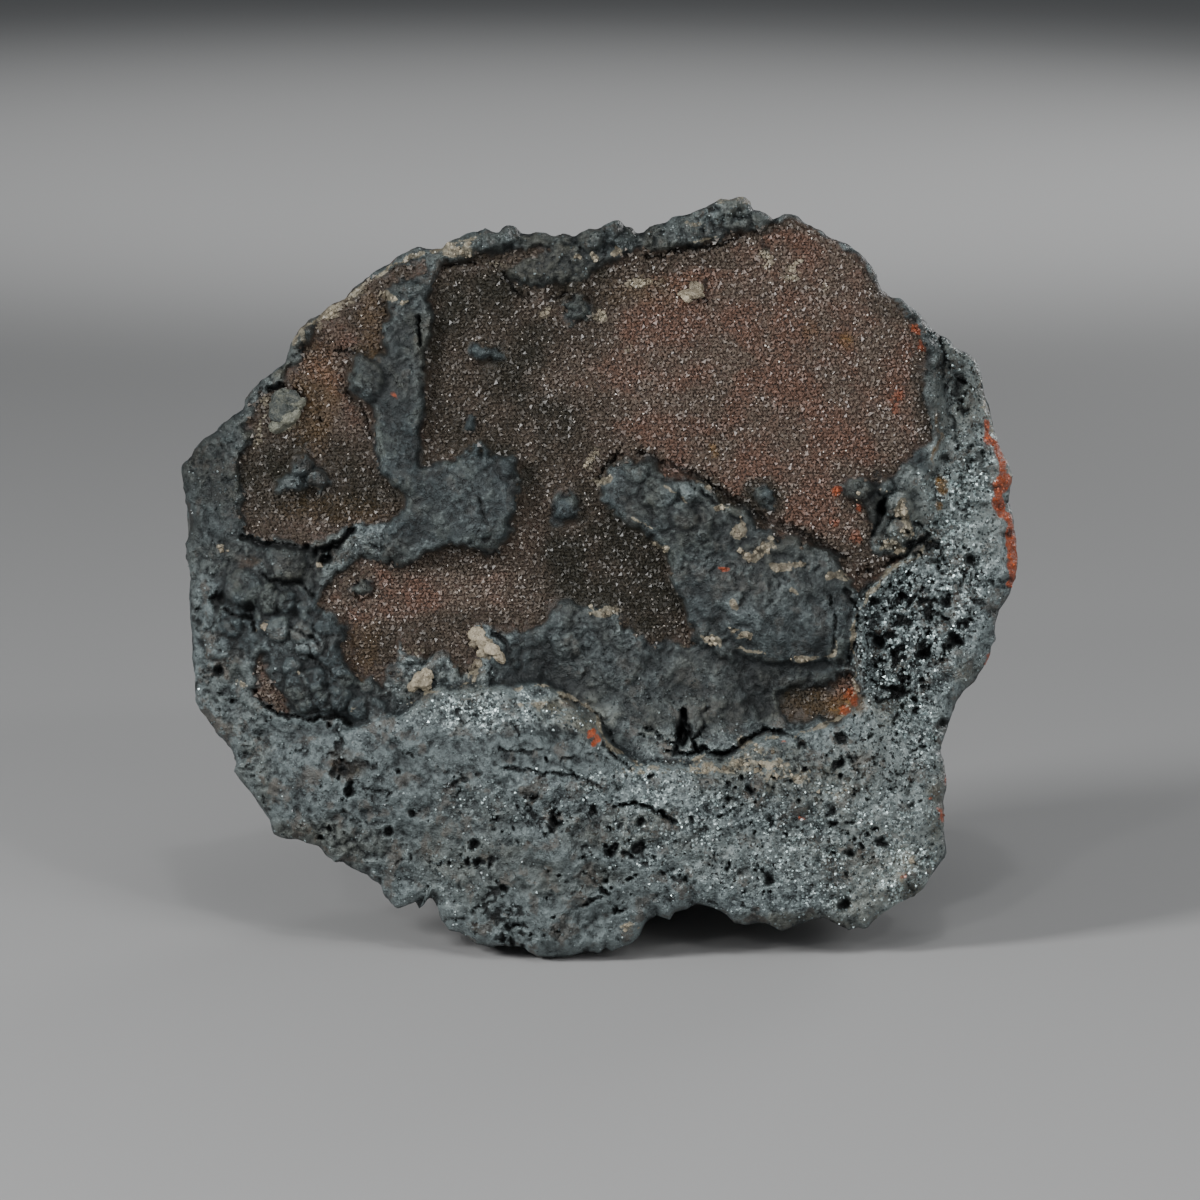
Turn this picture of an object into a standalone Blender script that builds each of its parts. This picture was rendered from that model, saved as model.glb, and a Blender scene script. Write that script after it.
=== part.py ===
"""A rhodochrosite specimen: dark manganese-oxide rock whose hollows are lined with brown-red druse.

The face is modelled looking up, with x to the right, y up the face and z out of it. A parent
empty then stands the specimen on its base, with the face leaning back.
"""

import math

import bmesh
import bpy
import numpy as np
from mathutils import Matrix, Vector, noise

MM = 0.001

# Driving dimensions
WIDTH = 120 * MM
THICKNESS = 47 * MM
LEAN = math.radians(10)
# How far the face falls at its rounded edge, and over what width
EDGE_FALL = 3.5 * MM
EDGE_WIDTH = 2.8 * MM
# Thickness of a crust where it is thinnest, and the clear gap between pieces
CRUST = 2.2 * MM
GAP = 0.4 * MM
# Brings the middle of the standing specimen's depth over the origin
STAND_BACK = -28.06 * MM
# How far a guide reaches above the face or below it
HIGH = 20 * MM

# How much a feature of the whole face rises or falls
HOLLOW_DROP = 2.6 * MM
TERRACE_DROP = 1.8 * MM
ISLAND_RISE = 1.3 * MM
ROCK_OVER_CRUST = 0.8 * MM
NODULE_RISE = 1.4 * MM
FACE_GRAIN = 0.35 * MM
TIP_RANGE = (-0.3 * MM, 0.5 * MM)

# How the sides draw in toward the back, as a share of the radius, and are bitten into by breakage
TAPER = 0.13
BITE = 6.0 * MM
BACK_UNEVEN = 2.6 * MM
BACK_EDGE = 1.2 * MM

# Share of its cube's length that a crystal keeps along the diagonal it is pushed together on
SQUEEZE = 0.82

# Cuts along the cube that becomes the rock, and the share of its triangles that is kept
CUTS = 109
KEPT = 0.0408

# Columns and rows of a 1200 by 1200 picture of the face, in which the specimen spans LEFT to RIGHT
LEFT, RIGHT = 177, 1023
FOOT = (560, 959)
MIDDLE = (600, 580)
PX = WIDTH / (RIGHT - LEFT)
# Spacing in px of the tips on a crust
TIP_SPACING = 15

OUTLINE = [
    (177, 463), (190, 447), (213, 430), (241, 407), (249, 388), (282, 363), (290, 340), (307, 317),
    (342, 297), (366, 275), (398, 253), (417, 245), (441, 247), (458, 236), (485, 227), (498, 232),
    (507, 224), (519, 233), (553, 235), (573, 236), (608, 222), (620, 219), (636, 232), (650, 225),
    (692, 212), (721, 198), (746, 196), (752, 208), (776, 219), (806, 221), (847, 242), (869, 260),
    (883, 288), (900, 296), (931, 323), (960, 346), (980, 357), (990, 398), (1007, 449), (1019, 474),
    (1015, 500), (1023, 555), (1021, 578), (1003, 612), (1001, 640), (982, 676), (957, 711),
    (943, 754), (949, 780), (946, 822), (947, 856), (928, 888), (895, 910), (868, 931), (850, 933),
    (826, 920), (791, 930), (756, 925), (736, 926), (708, 908), (697, 905), (670, 922), (650, 920),
    (640, 938), (612, 954), (585, 954), (550, 959), (527, 954), (488, 948), (457, 935), (441, 924),
    (428, 899), (417, 912), (389, 905), (366, 874), (341, 861), (333, 865), (308, 846), (271, 836),
    (263, 813), (230, 773), (231, 758), (202, 719), (191, 700), (188, 630), (181, 545), (185, 521),
    (178, 481),
]

# Column, row and height in mm of the face at spots along each stretch of it
LEVELS = [
    # Ridge along the top
    (480, 245, 0.5), (600, 240, 1.5), (690, 225, 1.5), (745, 205, 1.0),
    # Plateau at the upper right
    (620, 300, 0), (700, 300, 0), (800, 260, -0.4), (900, 330, -0.9), (700, 400, 0), (800, 400, 0),
    (900, 440, -0.6), (780, 480, 0),
    # Hollow between the plateau and the left
    (480, 350, -1.0), (480, 420, -1.2), (560, 400, -0.6), (560, 520, -1.6), (640, 560, -2.0),
    # Upper left
    (400, 280, -2.0), (340, 320, -3.5), (300, 420, -3.2), (350, 450, -2.6), (260, 500, -3.6),
    (220, 440, -5.5), (190, 470, -7.5),
    # Left edge and the nodules beside it
    (200, 560, -6.5), (240, 600, -3.5), (300, 620, -2.0), (350, 690, -1.5), (210, 690, -6.5),
    (240, 760, -5.5),
    # Lower-left lobe of the druse, and the two islands of smooth crust
    (430, 600, -2.5), (380, 640, -2.5), (500, 580, -2.2), (470, 505, -1.0), (390, 420, -1.8),
    (690, 520, -0.9), (760, 620, -1.5), (830, 620, -1.8),
    # Floor of the cavity below the islands
    (600, 640, -3.8), (560, 670, -4.4), (680, 690, -5.0), (760, 700, -5.2), (820, 690, -4.0),
    # Ridge below the cavity
    (430, 705, 0.3), (500, 705, 1.8), (560, 745, 2.8), (620, 785, 3.3), (700, 790, 3.2),
    (780, 770, 2.4), (850, 740, 1.0),
    # Broken rim from there to the foot
    (350, 780, -1.2), (300, 800, -3.6), (420, 820, 0.2), (500, 830, 2.0), (560, 860, 2.2),
    (650, 840, 2.2), (740, 850, 1.4), (820, 850, 0), (900, 850, -2.5), (930, 800, -3.5),
    (550, 930, -1.0), (480, 920, -2.4), (400, 880, -4.0), (620, 920, -1.6), (740, 905, -2.5),
    (860, 905, -3.5),
    # Terrace of grains at the right
    (890, 600, -2.8), (960, 480, -4.5), (1000, 450, -6.5), (1010, 540, -7.5), (960, 360, -4.6),
    (980, 640, -6.5), (940, 700, -4.8), (900, 760, -2.0),
]

# Edge of the whole hollow, below which the rim stands proud, closed round the top of the face
HOLLOW = [
    (150, 560), (240, 735), (330, 735), (400, 712), (440, 690), (500, 686), (545, 684), (575, 702),
    (598, 722), (610, 745), (640, 765), (690, 768), (725, 755), (760, 737), (815, 730), (848, 714),
    (858, 690), (854, 640), (858, 612), (880, 580), (905, 558), (932, 530), (1100, 480), (1100, 100),
    (150, 100),
]

# Where the plateau has dropped over its shoulder to the terrace
TERRACE = [
    (926, 320), (942, 352), (946, 400), (943, 450), (930, 480), (938, 520), (908, 562), (884, 586),
    (868, 612), (866, 650), (872, 700), (960, 740), (1060, 620), (1060, 420), (1000, 330), (950, 318),
]

# Smooth crust that stands proud of the druse
ISLANDS = [
    [
        (345, 375), (360, 352), (385, 350), (384, 300), (400, 280), (430, 290), (430, 390), (420, 452),
        (470, 448), (512, 452), (522, 490), (510, 525), (498, 550), (470, 548), (430, 556), (385, 540),
        (396, 500), (378, 455), (372, 412), (350, 392),
    ],
    [
        (606, 480), (640, 460), (690, 478), (730, 506), (790, 536), (845, 562), (858, 590), (852, 650),
        (800, 664), (740, 660), (696, 640), (672, 582), (655, 545), (614, 514),
    ],
]

# Column, row, radius in px and height of each nodule, as a multiple of NODULE_RISE
NODULES = [
    (240, 592, 22, 1.5), (270, 600, 17, 1.2), (285, 560, 22, 1.4), (298, 668, 15, 1.1),
    (312, 687, 17, 1.2), (336, 690, 16, 1.1), (300, 708, 15, 1.0), (345, 712, 16, 1.0),
    (373, 705, 14, 0.9), (300, 465, 13, 1.2), (290, 487, 13, 1.1), (365, 378, 20, 1.0),
    (470, 503, 34, 1.6), (480, 350, 15, 0.8), (578, 291, 12, 0.8), (600, 640, 38, 1.6),
    (655, 510, 24, 0.9), (700, 531, 18, 1.1), (690, 490, 14, 0.8), (636, 470, 14, 0.8),
    (860, 488, 16, 1.2), (902, 520, 20, 1.6), (545, 262, 24, 0.9), (720, 205, 20, 1.2),
    (600, 232, 18, 1.2), (480, 240, 20, 1.0), (300, 340, 14, 1.2), (410, 650, 20, 1.0),
    (800, 610, 34, 0.8), (545, 760, 46, 0.9), (560, 890, 60, 0.8),
]

# Column, row, radius in px and depth in mm of each pit
PITS = [
    (684, 735, 18, 4.0), (322, 555, 12, 2.6), (225, 600, 12, 2.2), (250, 610, 11, 2.0),
    (617, 470, 11, 1.4), (340, 768, 15, 2.0), (350, 788, 10, 2.2), (413, 815, 10, 1.8),
    (475, 845, 9, 1.6), (537, 797, 9, 1.6), (560, 815, 9, 1.6), (610, 850, 10, 1.6),
    (637, 808, 13, 1.8), (668, 818, 11, 1.8), (503, 888, 9, 1.5), (835, 765, 14, 2.0),
    (843, 737, 10, 1.6), (803, 745, 9, 1.6), (750, 790, 9, 1.5), (830, 810, 11, 1.6),
    (850, 855, 10, 1.6), (770, 880, 11, 1.6), (880, 640, 16, 2.6), (905, 600, 15, 2.4),
    (925, 650, 16, 2.6), (900, 690, 13, 2.2), (950, 600, 13, 2.2), (958, 385, 18, 2.0),
    (975, 560, 12, 1.8), (940, 560, 11, 1.8), (908, 545, 11, 1.8), (888, 510, 13, 2.2),
    (765, 250, 9, 1.2), (215, 672, 11, 1.8), (845, 905, 10, 1.6), (945, 725, 11, 1.8),
]

# Edges of the druse, hollow by hollow
DRUSE = {
    "druse_main": [
        (442, 270), (500, 258), (512, 285), (560, 294), (600, 284), (642, 254), (702, 250), (738, 238),
        (778, 229), (802, 234), (842, 254), (858, 272), (870, 297), (893, 310), (912, 326), (918, 350),
        (920, 440), (912, 460), (880, 470), (836, 480), (850, 503), (864, 518), (862, 545), (870, 570),
        (846, 558), (800, 532), (745, 506), (700, 476), (655, 456), (620, 458), (600, 476), (604, 505),
        (646, 547), (668, 587), (690, 630), (660, 640), (615, 608), (575, 602), (545, 606), (520, 628),
        (488, 626), (462, 640), (440, 652), (400, 640), (385, 678), (352, 660), (348, 628), (328, 602),
        (346, 566), (385, 562), (440, 562), (502, 560), (520, 525), (532, 490), (520, 446), (470, 440),
        (426, 442), (434, 400), (434, 330),
    ],
    "druse_upper_left": [
        (334, 314), (366, 292), (400, 272), (382, 300), (378, 345), (354, 350), (340, 376), (352, 400),
        (366, 416), (372, 458), (386, 498), (376, 516), (330, 530), (282, 534), (258, 522), (254, 470),
        (252, 412), (278, 386), (302, 363), (320, 334),
    ],
    "druse_lower_right": [
        (782, 702), (808, 692), (836, 682), (848, 681), (848, 700), (836, 715), (806, 714),
    ],
    "druse_left_pocket": [
        (262, 664), (272, 680), (286, 702), (278, 708), (262, 700), (255, 684),
    ],
}

# Column and row of the middle, edge in mm, crystals, the crust it grew on, and its seed
CRYSTALS = {
    "pale_crystal_centre": ((486, 643), 2.6, 5, "druse_main", 1),
    "pale_crystal_rim": ((421, 682), 2.2, 4, "druse_main", 2),
    "pale_crystal_plateau": ((692, 292), 1.9, 3, "druse_main", 3),
    "grey_crystal": ((286, 409), 3.2, 2, "druse_upper_left", 4),
}

# Planes of the broken back: slope across, slope up, and how many thicknesses behind the face's middle
BACK_PLANES = [
    (0.00, 0.02, 1.00), (0.05, 0.62, 1.11), (-0.58, 0.10, 1.28), (0.60, -0.04, 1.32),
    (-0.30, -0.30, 1.43), (0.46, 0.44, 1.28),
]

# Colour, roughness and metallic value
OXIDE = ((0.060, 0.070, 0.078), 0.50, 0.35)
RHODOCHROSITE = ((0.135, 0.062, 0.045), 0.35, 0.0)
PALE = ((0.55, 0.50, 0.38), 0.45, 0.0)
GREY = ((0.22, 0.22, 0.17), 0.40, 0.0)


def across(column):
    """x on the face of a column of the picture."""
    return (column - MIDDLE[0]) * PX


def up(row):
    """y on the face of a row of the picture."""
    return (FOOT[1] + 1 - row) * PX


def edge_radius(angle):
    """How far the outline lies from the middle, in px, at each angle."""
    points = np.array(OUTLINE, float) - MIDDLE
    angles = np.arctan2(-points[:, 1], points[:, 0])
    order = np.argsort(angles)
    return np.interp(angle, angles[order], np.hypot(*points[order].T), period=2 * math.pi)


def worn_radius(angle):
    """The same for an outline worn back to the depth of its notches, as it is behind the face."""
    around = np.radians(np.arange(360))
    near = edge_radius(around[:, None] + np.radians(np.arange(-4, 5))).min(axis=1)
    soft = near[(np.arange(360)[:, None] + np.arange(-6, 7)) % 360].mean(axis=1)
    return np.interp(angle, around, np.minimum(soft, near), period=2 * math.pi)


def inside(points, polygon):
    """Each point's distance in px from a polygon's edge, positive inside it."""
    corners = np.array(polygon, float)
    nearest = np.full(len(points), np.inf)
    within = np.zeros(len(points), bool)
    for start, end in zip(corners, np.roll(corners, -1, axis=0)):
        side = end - start
        along = np.clip((points - start) @ side / (side @ side), 0, 1)
        nearest = np.minimum(nearest, np.hypot(*(points - start - along[:, None] * side).T))
        crosses = (start[1] > points[:, 1]) != (end[1] > points[:, 1])
        reach = (points[:, 1] - start[1]) / (side[1] or 1) * side[0] + start[0]
        within ^= crosses & (points[:, 0] < reach)
    return np.where(within, nearest, -nearest)


def step(distance, width):
    """0 to 1 across a border, smooth, width px wide."""
    t = np.clip(distance / width + 0.5, 0, 1)
    return t * t * (3 - 2 * t)


def levels(points):
    """Height of the face without its details, smooth through every spot of LEVELS."""
    spots = np.array(LEVELS, float)
    where, height = spots[:, :2], spots[:, 2]
    apart = np.hypot(*(where[:, None] - where[None]).transpose(2, 0, 1))
    ones = np.ones((len(spots), 1))
    system = np.block([[apart, ones], [ones.T, np.zeros((1, 1))]])
    weights = np.linalg.solve(system, np.append(height, 0))
    reach = np.hypot(points[:, None, 0] - where[:, 0], points[:, None, 1] - where[:, 1])
    return (reach @ weights[:-1] + weights[-1]) * MM


def floor(points):
    """Height of the face with its rounded edge and the drops of its hollow and terrace."""
    offset = points - MIDDLE
    from_edge = (edge_radius(np.arctan2(-offset[:, 1], offset[:, 0])) - np.hypot(*offset.T)) * PX
    short = np.clip(1 - from_edge / EDGE_WIDTH, 0, 1)
    hollow = inside(points, HOLLOW)
    height = levels(points) - EDGE_FALL * (1 - np.sqrt(1 - short**2))
    height -= HOLLOW_DROP * step(hollow, 12) * np.exp(-np.clip(hollow, 0, None) / 60)
    return height - TERRACE_DROP * step(inside(points, TERRACE), 14)


def relief(points):
    """Height of the rock's face, with all that stands on it or is sunk in it."""
    height = floor(points)
    in_crust = np.max([inside(points, polygon) for polygon in DRUSE.values()], axis=0)
    height += ROCK_OVER_CRUST * step(-in_crust - 4, 14)
    for island in ISLANDS:
        height += ISLAND_RISE * step(inside(points, island), 12)
    for column, row, radius, rise in NODULES:
        away = np.hypot(points[:, 0] - column, points[:, 1] - row) / radius
        height += NODULE_RISE * rise * np.sqrt(np.clip(1 - away**2, 0, 1))
    for column, row, radius, depth in PITS:
        away = np.hypot(points[:, 0] - column, points[:, 1] - row) / radius
        height -= depth * MM * np.clip(1 - away**2, 0, 1)
    return height


def back(points):
    """Height of the back, where its planes meet in blunt edges."""
    x = across(points[:, 0])
    y = (MIDDLE[1] - points[:, 1]) * PX
    planes = np.array([a * x + b * y - depth * THICKNESS for a, b, depth in BACK_PLANES])
    return BACK_EDGE * np.log(np.exp(planes / BACK_EDGE).sum(axis=0))


def chance(place, grain, seed):
    """Smooth noise from about -1 to 1 at each point, with lumps about a grain across."""
    shift = Vector((17.3 * seed, 5.1 * seed, 9.7 * seed))
    return np.array([noise.noise(Vector(p) / grain + shift) for p in place])


def make(name, bm, collection):
    """An object with a bmesh as its mesh."""
    mesh = bpy.data.meshes.new(name)
    bm.to_mesh(mesh)
    bm.free()
    thing = bpy.data.objects.new(name, mesh)
    collection.objects.link(thing)
    return thing


def finish(thing, name, look):
    """Give a piece a material of its own."""
    colour, roughness, metallic = look
    material = bpy.data.materials.new(name)
    material.use_nodes = True
    shader = material.node_tree.nodes["Principled BSDF"]
    shader.inputs["Base Color"].default_value = (*colour, 1)
    shader.inputs["Roughness"].default_value = roughness
    shader.inputs["Metallic"].default_value = metallic
    thing.data.materials.append(material)


def boolean(thing, other, operation):
    """Cut, join or trim one object with another, which then stays as a guide."""
    modifier = thing.modifiers.new(f"{operation.lower()} {other.name}", "BOOLEAN")
    modifier.operation = operation
    modifier.object = other
    modifier.solver = "EXACT"
    other.hide_render = True
    other.display_type = "WIRE"


def rock(collection):
    """The rock: a finely divided cube drawn out to the outline, its face, sides and back."""
    bm = bmesh.new()
    bmesh.ops.create_cube(bm, size=2)
    bmesh.ops.subdivide_edges(bm, edges=bm.edges[:], cuts=CUTS, use_grid_fill=True)
    place = rock_surface(np.array([vertex.co for vertex in bm.verts]))
    for vertex, where in zip(bm.verts, place):
        vertex.co = where
    bmesh.ops.triangulate(bm, faces=bm.faces[:])
    matrix = make("matrix", bm, collection)
    matrix.modifiers.new("fewer faces", "DECIMATE").ratio = KEPT
    return matrix


def rock_surface(cube):
    """Where each point of the cube's surface lies on the rock."""
    flat = np.abs(cube[:, :2]).max(axis=1)
    a, b = (cube[:, :2] / np.where(flat > 1e-6, flat, 1)[:, None]).T
    # The cube's square rings become round ones, evenly turned
    turn = math.pi / 4
    angle = np.where(
        np.abs(a) >= np.abs(b),
        np.where(a > 0, turn * b, math.pi - turn * b),
        np.where(b > 0, math.pi / 2 - turn * a, -math.pi / 2 + turn * a),
    )
    depth = (1 - cube[:, 2]) / 2
    reach = edge_radius(angle)
    round_about = np.stack([np.cos(angle), np.sin(angle)], 1)
    # The sides draw in toward the back and are bitten into by breakage, but not at the foot
    at_foot = step(-np.sin(angle) - 0.62, 0.36)
    taper = TAPER * (1 + 0.23 * np.sin(3 * angle + 1)) * (1 - at_foot)
    column_wise = np.column_stack([round_about * reach[:, None] * PX, -depth * THICKNESS])
    worn = 0.45 + 0.7 * chance(column_wise, 19 * MM, 1) + 0.3 * chance(column_wise, 9 * MM, 2)
    behind = np.clip((depth - 0.13) / 0.25, 0, 1)
    worn_reach = reach + (worn_radius(angle) - reach) * behind
    bite = BITE / PX * np.clip(worn, 0, 1) * behind * (1 - 0.9 * at_foot)
    radius = flat * (worn_reach * (1 - taper * depth**1.5) - bite)
    points = MIDDLE + round_about * (1, -1) * radius[:, None]
    rim = MIDDLE + round_about * (1, -1) * reach[:, None]
    on_face = cube[:, 2] > 0.999
    height = relief(rim) * (1 - depth) + back(points) * depth
    height[on_face] = relief(points[on_face])
    place = np.column_stack([across(points[:, 0]), up(points[:, 1]), height])
    uneven = chance(place, 16 * MM, 3) + 0.23 * chance(place, 7 * MM, 4)
    place[:, 2] += BACK_UNEVEN * uneven * np.clip((depth - 0.6) / 0.4, 0, 1)
    inward = np.clip((1 - flat) * 12, 0, 1)
    place[:, 2] += FACE_GRAIN * chance(place, 3.2 * MM, 5) * np.where(on_face, inward, 0)
    return place


def grown(polygon, margin):
    """A polygon's corners moved out by a margin in px."""
    corners = np.array(polygon, float)
    after = np.roll(corners, -1, axis=0)
    ahead = (after - corners) / np.hypot(*(after - corners).T)[:, None]
    behind = np.roll(ahead, 1, axis=0)
    area = np.sum(corners[:, 0] * after[:, 1] - corners[:, 1] * after[:, 0])
    out = np.column_stack([ahead[:, 1] + behind[:, 1], -ahead[:, 0] - behind[:, 0]])
    open_corner = np.clip(1 + np.sum(ahead * behind, axis=1), 0.5, None)
    return corners + margin * math.copysign(1, area) * out / open_corner[:, None]


def prism(name, polygon, bed, collection):
    """A flat outline on the face, drawn from a sloping bed to high above the face."""
    curve = bpy.data.curves.new(name, "CURVE")
    curve.dimensions = "2D"
    curve.fill_mode = "BOTH"
    curve.extrude = HIGH
    spline = curve.splines.new("POLY")
    spline.points.add(len(polygon) - 1)
    for point, (column, row) in zip(spline.points, polygon):
        point.co = (across(column), up(row), 0, 1)
    spline.use_cyclic_u = True
    outline = bpy.data.objects.new(name, curve)
    collection.objects.link(outline)
    evaluated = outline.evaluated_get(bpy.context.evaluated_depsgraph_get())
    bm = bmesh.new()
    bm.from_mesh(bpy.data.meshes.new_from_object(evaluated))
    bmesh.ops.remove_doubles(bm, verts=bm.verts[:], dist=1e-6)
    for vertex in bm.verts:
        if vertex.co.z < 0:
            vertex.co.z = bed @ (vertex.co.x, vertex.co.y, 1)
    bpy.data.objects.remove(outline)
    return make(name, bm, collection)


def crust_bed(corners):
    """The plane under a crust, as its slopes and height, a full thickness below the lowest corner."""
    heights = floor(corners)
    places = np.column_stack([across(corners[:, 0]), up(corners[:, 1]), np.ones(len(corners))])
    bed = np.linalg.lstsq(places, heights, rcond=None)[0]
    return bed + (0, 0, (heights - places @ bed).min() - CRUST)


def crust(name, polygon, collection, guides):
    """One hollow's crust of small crystals, and the cutter of its flat-floored seat in the rock."""
    corners = np.array(polygon, float)
    low, high = corners.min(axis=0) - TIP_SPACING, corners.max(axis=0) + TIP_SPACING
    middle, span = (low + high) / 2, high - low
    across_count, up_count = np.ceil(span / TIP_SPACING).astype(int)
    bm = bmesh.new()
    bmesh.ops.create_grid(bm, x_segments=int(across_count), y_segments=int(up_count), size=0.5)
    random = np.random.default_rng(len(polygon))
    spots = np.array([vertex.co.xy for vertex in bm.verts]) * span * (1, -1) + middle
    spots += random.uniform(-0.28, 0.28, spots.shape) * TIP_SPACING
    tips = floor(spots) + random.uniform(*TIP_RANGE, len(spots))
    for vertex, spot, height in zip(bm.verts, spots, tips):
        vertex.co = (across(spot[0]), up(spot[1]), height)
    bmesh.ops.triangulate(bm, faces=bm.faces[:])
    drawn = bmesh.ops.extrude_face_region(bm, geom=bm.faces[:])
    lower = [item for item in drawn["geom"] if isinstance(item, bmesh.types.BMVert)]
    bmesh.ops.translate(bm, verts=lower, vec=(0, 0, -HIGH))
    bmesh.ops.recalc_face_normals(bm, faces=bm.faces[:])
    piece = make(name, bm, collection)
    bed = crust_bed(corners)
    boolean(piece, prism(name + "_edge", polygon, bed, guides), "INTERSECT")
    return piece, prism(name + "_seat", grown(polygon, GAP / PX), bed - (0, 0, GAP), guides)


def rhombohedron(name, size, place, turned, collection):
    """A calcite-like crystal: a cube pushed together along one diagonal."""
    bm = bmesh.new()
    bmesh.ops.create_cube(bm, size=size)
    diagonal = Vector((1, 1, 1)).normalized()
    squeeze = Matrix.Scale(SQUEEZE, 3, diagonal)
    bmesh.ops.transform(bm, matrix=turned.to_matrix().to_4x4() @ squeeze.to_4x4(), verts=bm.verts[:])
    bmesh.ops.translate(bm, vec=place, verts=bm.verts[:])
    return make(name, bm, collection)


def crystals(name, spot, size, count, seed, collection, guides):
    """A cluster of crystals grown together, and the cutters that make room for each."""
    random = np.random.default_rng(seed)
    height = floor(np.array([spot], float))[0] + 0.35 * size * MM
    members, rooms = [], []
    for number in range(count):
        spread = random.uniform(-0.55, 0.55, 3) * size * MM if number else np.zeros(3)
        place = Vector((across(spot[0]), up(spot[1]), height)) + Vector(spread * (1, 1, 0.4))
        turned = Vector(random.normal(size=3)).to_track_quat("Z", "Y")
        edge = size * MM * (1 - 0.09 * number)
        home = guides if number else collection
        members.append(rhombohedron(f"{name}_{number}" if number else name, edge, place, turned, home))
        rooms.append(rhombohedron(f"{name}_room_{number}", edge + 3 * GAP, place, turned, guides))
    for member in members[1:]:
        boolean(members[0], member, "UNION")
    return members[0], rooms


def build():
    """Make every piece, cut the seats, and stand the specimen on its base."""
    for thing in list(bpy.data.objects):
        bpy.data.objects.remove(thing)
    specimen = bpy.data.collections.new("rhodochrosite")
    guides = bpy.data.collections.new("cutters")
    for collection in (specimen, guides):
        bpy.context.scene.collection.children.link(collection)

    matrix = rock(specimen)
    finish(matrix, "oxide", OXIDE)
    crusts = {}
    for name, polygon in DRUSE.items():
        crusts[name], seat = crust(name, polygon, specimen, guides)
        finish(crusts[name], name, RHODOCHROSITE)
        boolean(matrix, seat, "DIFFERENCE")
    for name, (spot, size, count, home, seed) in CRYSTALS.items():
        cluster, rooms = crystals(name, spot, size, count, seed, specimen, guides)
        finish(cluster, name, GREY if name.startswith("grey") else PALE)
        for room in rooms:
            boolean(matrix, room, "DIFFERENCE")
            boolean(crusts[home], room, "DIFFERENCE")

    stand = bpy.data.objects.new("stand", None)
    specimen.objects.link(stand)
    for thing in [*specimen.objects, *guides.objects]:
        if thing is not stand:
            thing.parent = stand
    foot = floor(np.array([FOOT], float))[0]
    stand.rotation_euler = (math.pi / 2 - LEAN, 0, 0)
    stand.location = (0, STAND_BACK, -foot * math.sin(LEAN))

    bm = bmesh.new()
    bmesh.ops.create_cube(bm, size=2 * WIDTH)
    ground = make("ground", bm, guides)
    ground.location.z = -WIDTH
    boolean(matrix, ground, "DIFFERENCE")


build()
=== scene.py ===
"""Looks of a rhodochrosite specimen: dark manganese-oxide rock lined with brown-red druse."""

import math

import bmesh
import bpy
import numpy as np
from mathutils import Matrix, Vector, noise
from mathutils.geometry import delaunay_2d_cdt


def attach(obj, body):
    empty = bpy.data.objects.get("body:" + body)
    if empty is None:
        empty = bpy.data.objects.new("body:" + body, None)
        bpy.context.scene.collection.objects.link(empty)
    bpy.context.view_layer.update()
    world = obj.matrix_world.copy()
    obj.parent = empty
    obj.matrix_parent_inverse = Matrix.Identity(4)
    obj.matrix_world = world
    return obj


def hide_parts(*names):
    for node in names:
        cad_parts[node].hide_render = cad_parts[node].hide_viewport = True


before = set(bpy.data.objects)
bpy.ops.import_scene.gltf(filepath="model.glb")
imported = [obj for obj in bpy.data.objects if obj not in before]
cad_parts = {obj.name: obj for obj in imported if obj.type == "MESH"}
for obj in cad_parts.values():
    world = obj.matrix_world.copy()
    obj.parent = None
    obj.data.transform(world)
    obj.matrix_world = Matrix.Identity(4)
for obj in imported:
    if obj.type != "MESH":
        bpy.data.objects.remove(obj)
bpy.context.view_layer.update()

MM = 0.001

# Driving dimensions, the same as the solids'
WIDTH = 120 * MM
THICKNESS = 47 * MM
LEAN = math.radians(10)
EDGE_FALL = 3.5 * MM
EDGE_WIDTH = 2.8 * MM
STAND_BACK = -28.06 * MM
HOLLOW_DROP = 2.6 * MM
TERRACE_DROP = 1.8 * MM
ISLAND_RISE = 1.3 * MM
ROCK_OVER_CRUST = 0.8 * MM
NODULE_RISE = 1.4 * MM
TAPER = 0.13
BITE = 6.0 * MM
BACK_UNEVEN = 2.6 * MM
BACK_EDGE = 1.2 * MM

# Columns and rows of a 1200 by 1200 picture of the face, in which the specimen spans LEFT to RIGHT
PICTURE = 1200
LEFT, RIGHT = 177, 1023
TOP = 196
FOOT = (560, 959)
MIDDLE = (600, 580)
PX = WIDTH / (RIGHT - LEFT)

# Small features of the rock's face
BED_DEPTH = 0.5 * MM
CREASE_DEPTH = 0.3 * MM
SPLIT_DEPTH = 0.5 * MM
HOLE_DEPTH = 1.1 * MM

# The fine grid on which the face is worked out: its spacing and its margin round the outline, in px
GRID = 1.3
MARGIN = 12

# Spacing in px of the rock's points on the face, under the druse and along the rim, and the gap
# between the rim and the points inside it
FACE_STEP = 2.1
HIDDEN_STEP = 8
RIM_STEP = 2.7
RIM_GAP = 1.6

# Behind the face, the rock's points are laid out on a disc: its radius, the share of the radius that
# holds the back rather than the sides, the spacing of points near the rim and farther in, and the
# shares of the radius between which the closer ones lie
DISC = 100.0
BACK_SHARE = 0.5
NEAR_STEP = 0.95
FAR_STEP = 1.45
NEAR_FROM = 0.87
NEAR_TO = 0.99

# Spacing in px of the druse's crystals, the metallic grains and the pale grains
CRYSTAL_SPACING = 3.3
GRAIN_SPACING = 3.4
PALE_SPACING = 4.2

# In metres
CAMERA_DISTANCE = 1.0
FLOOR_REACH = 6.0

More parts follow.
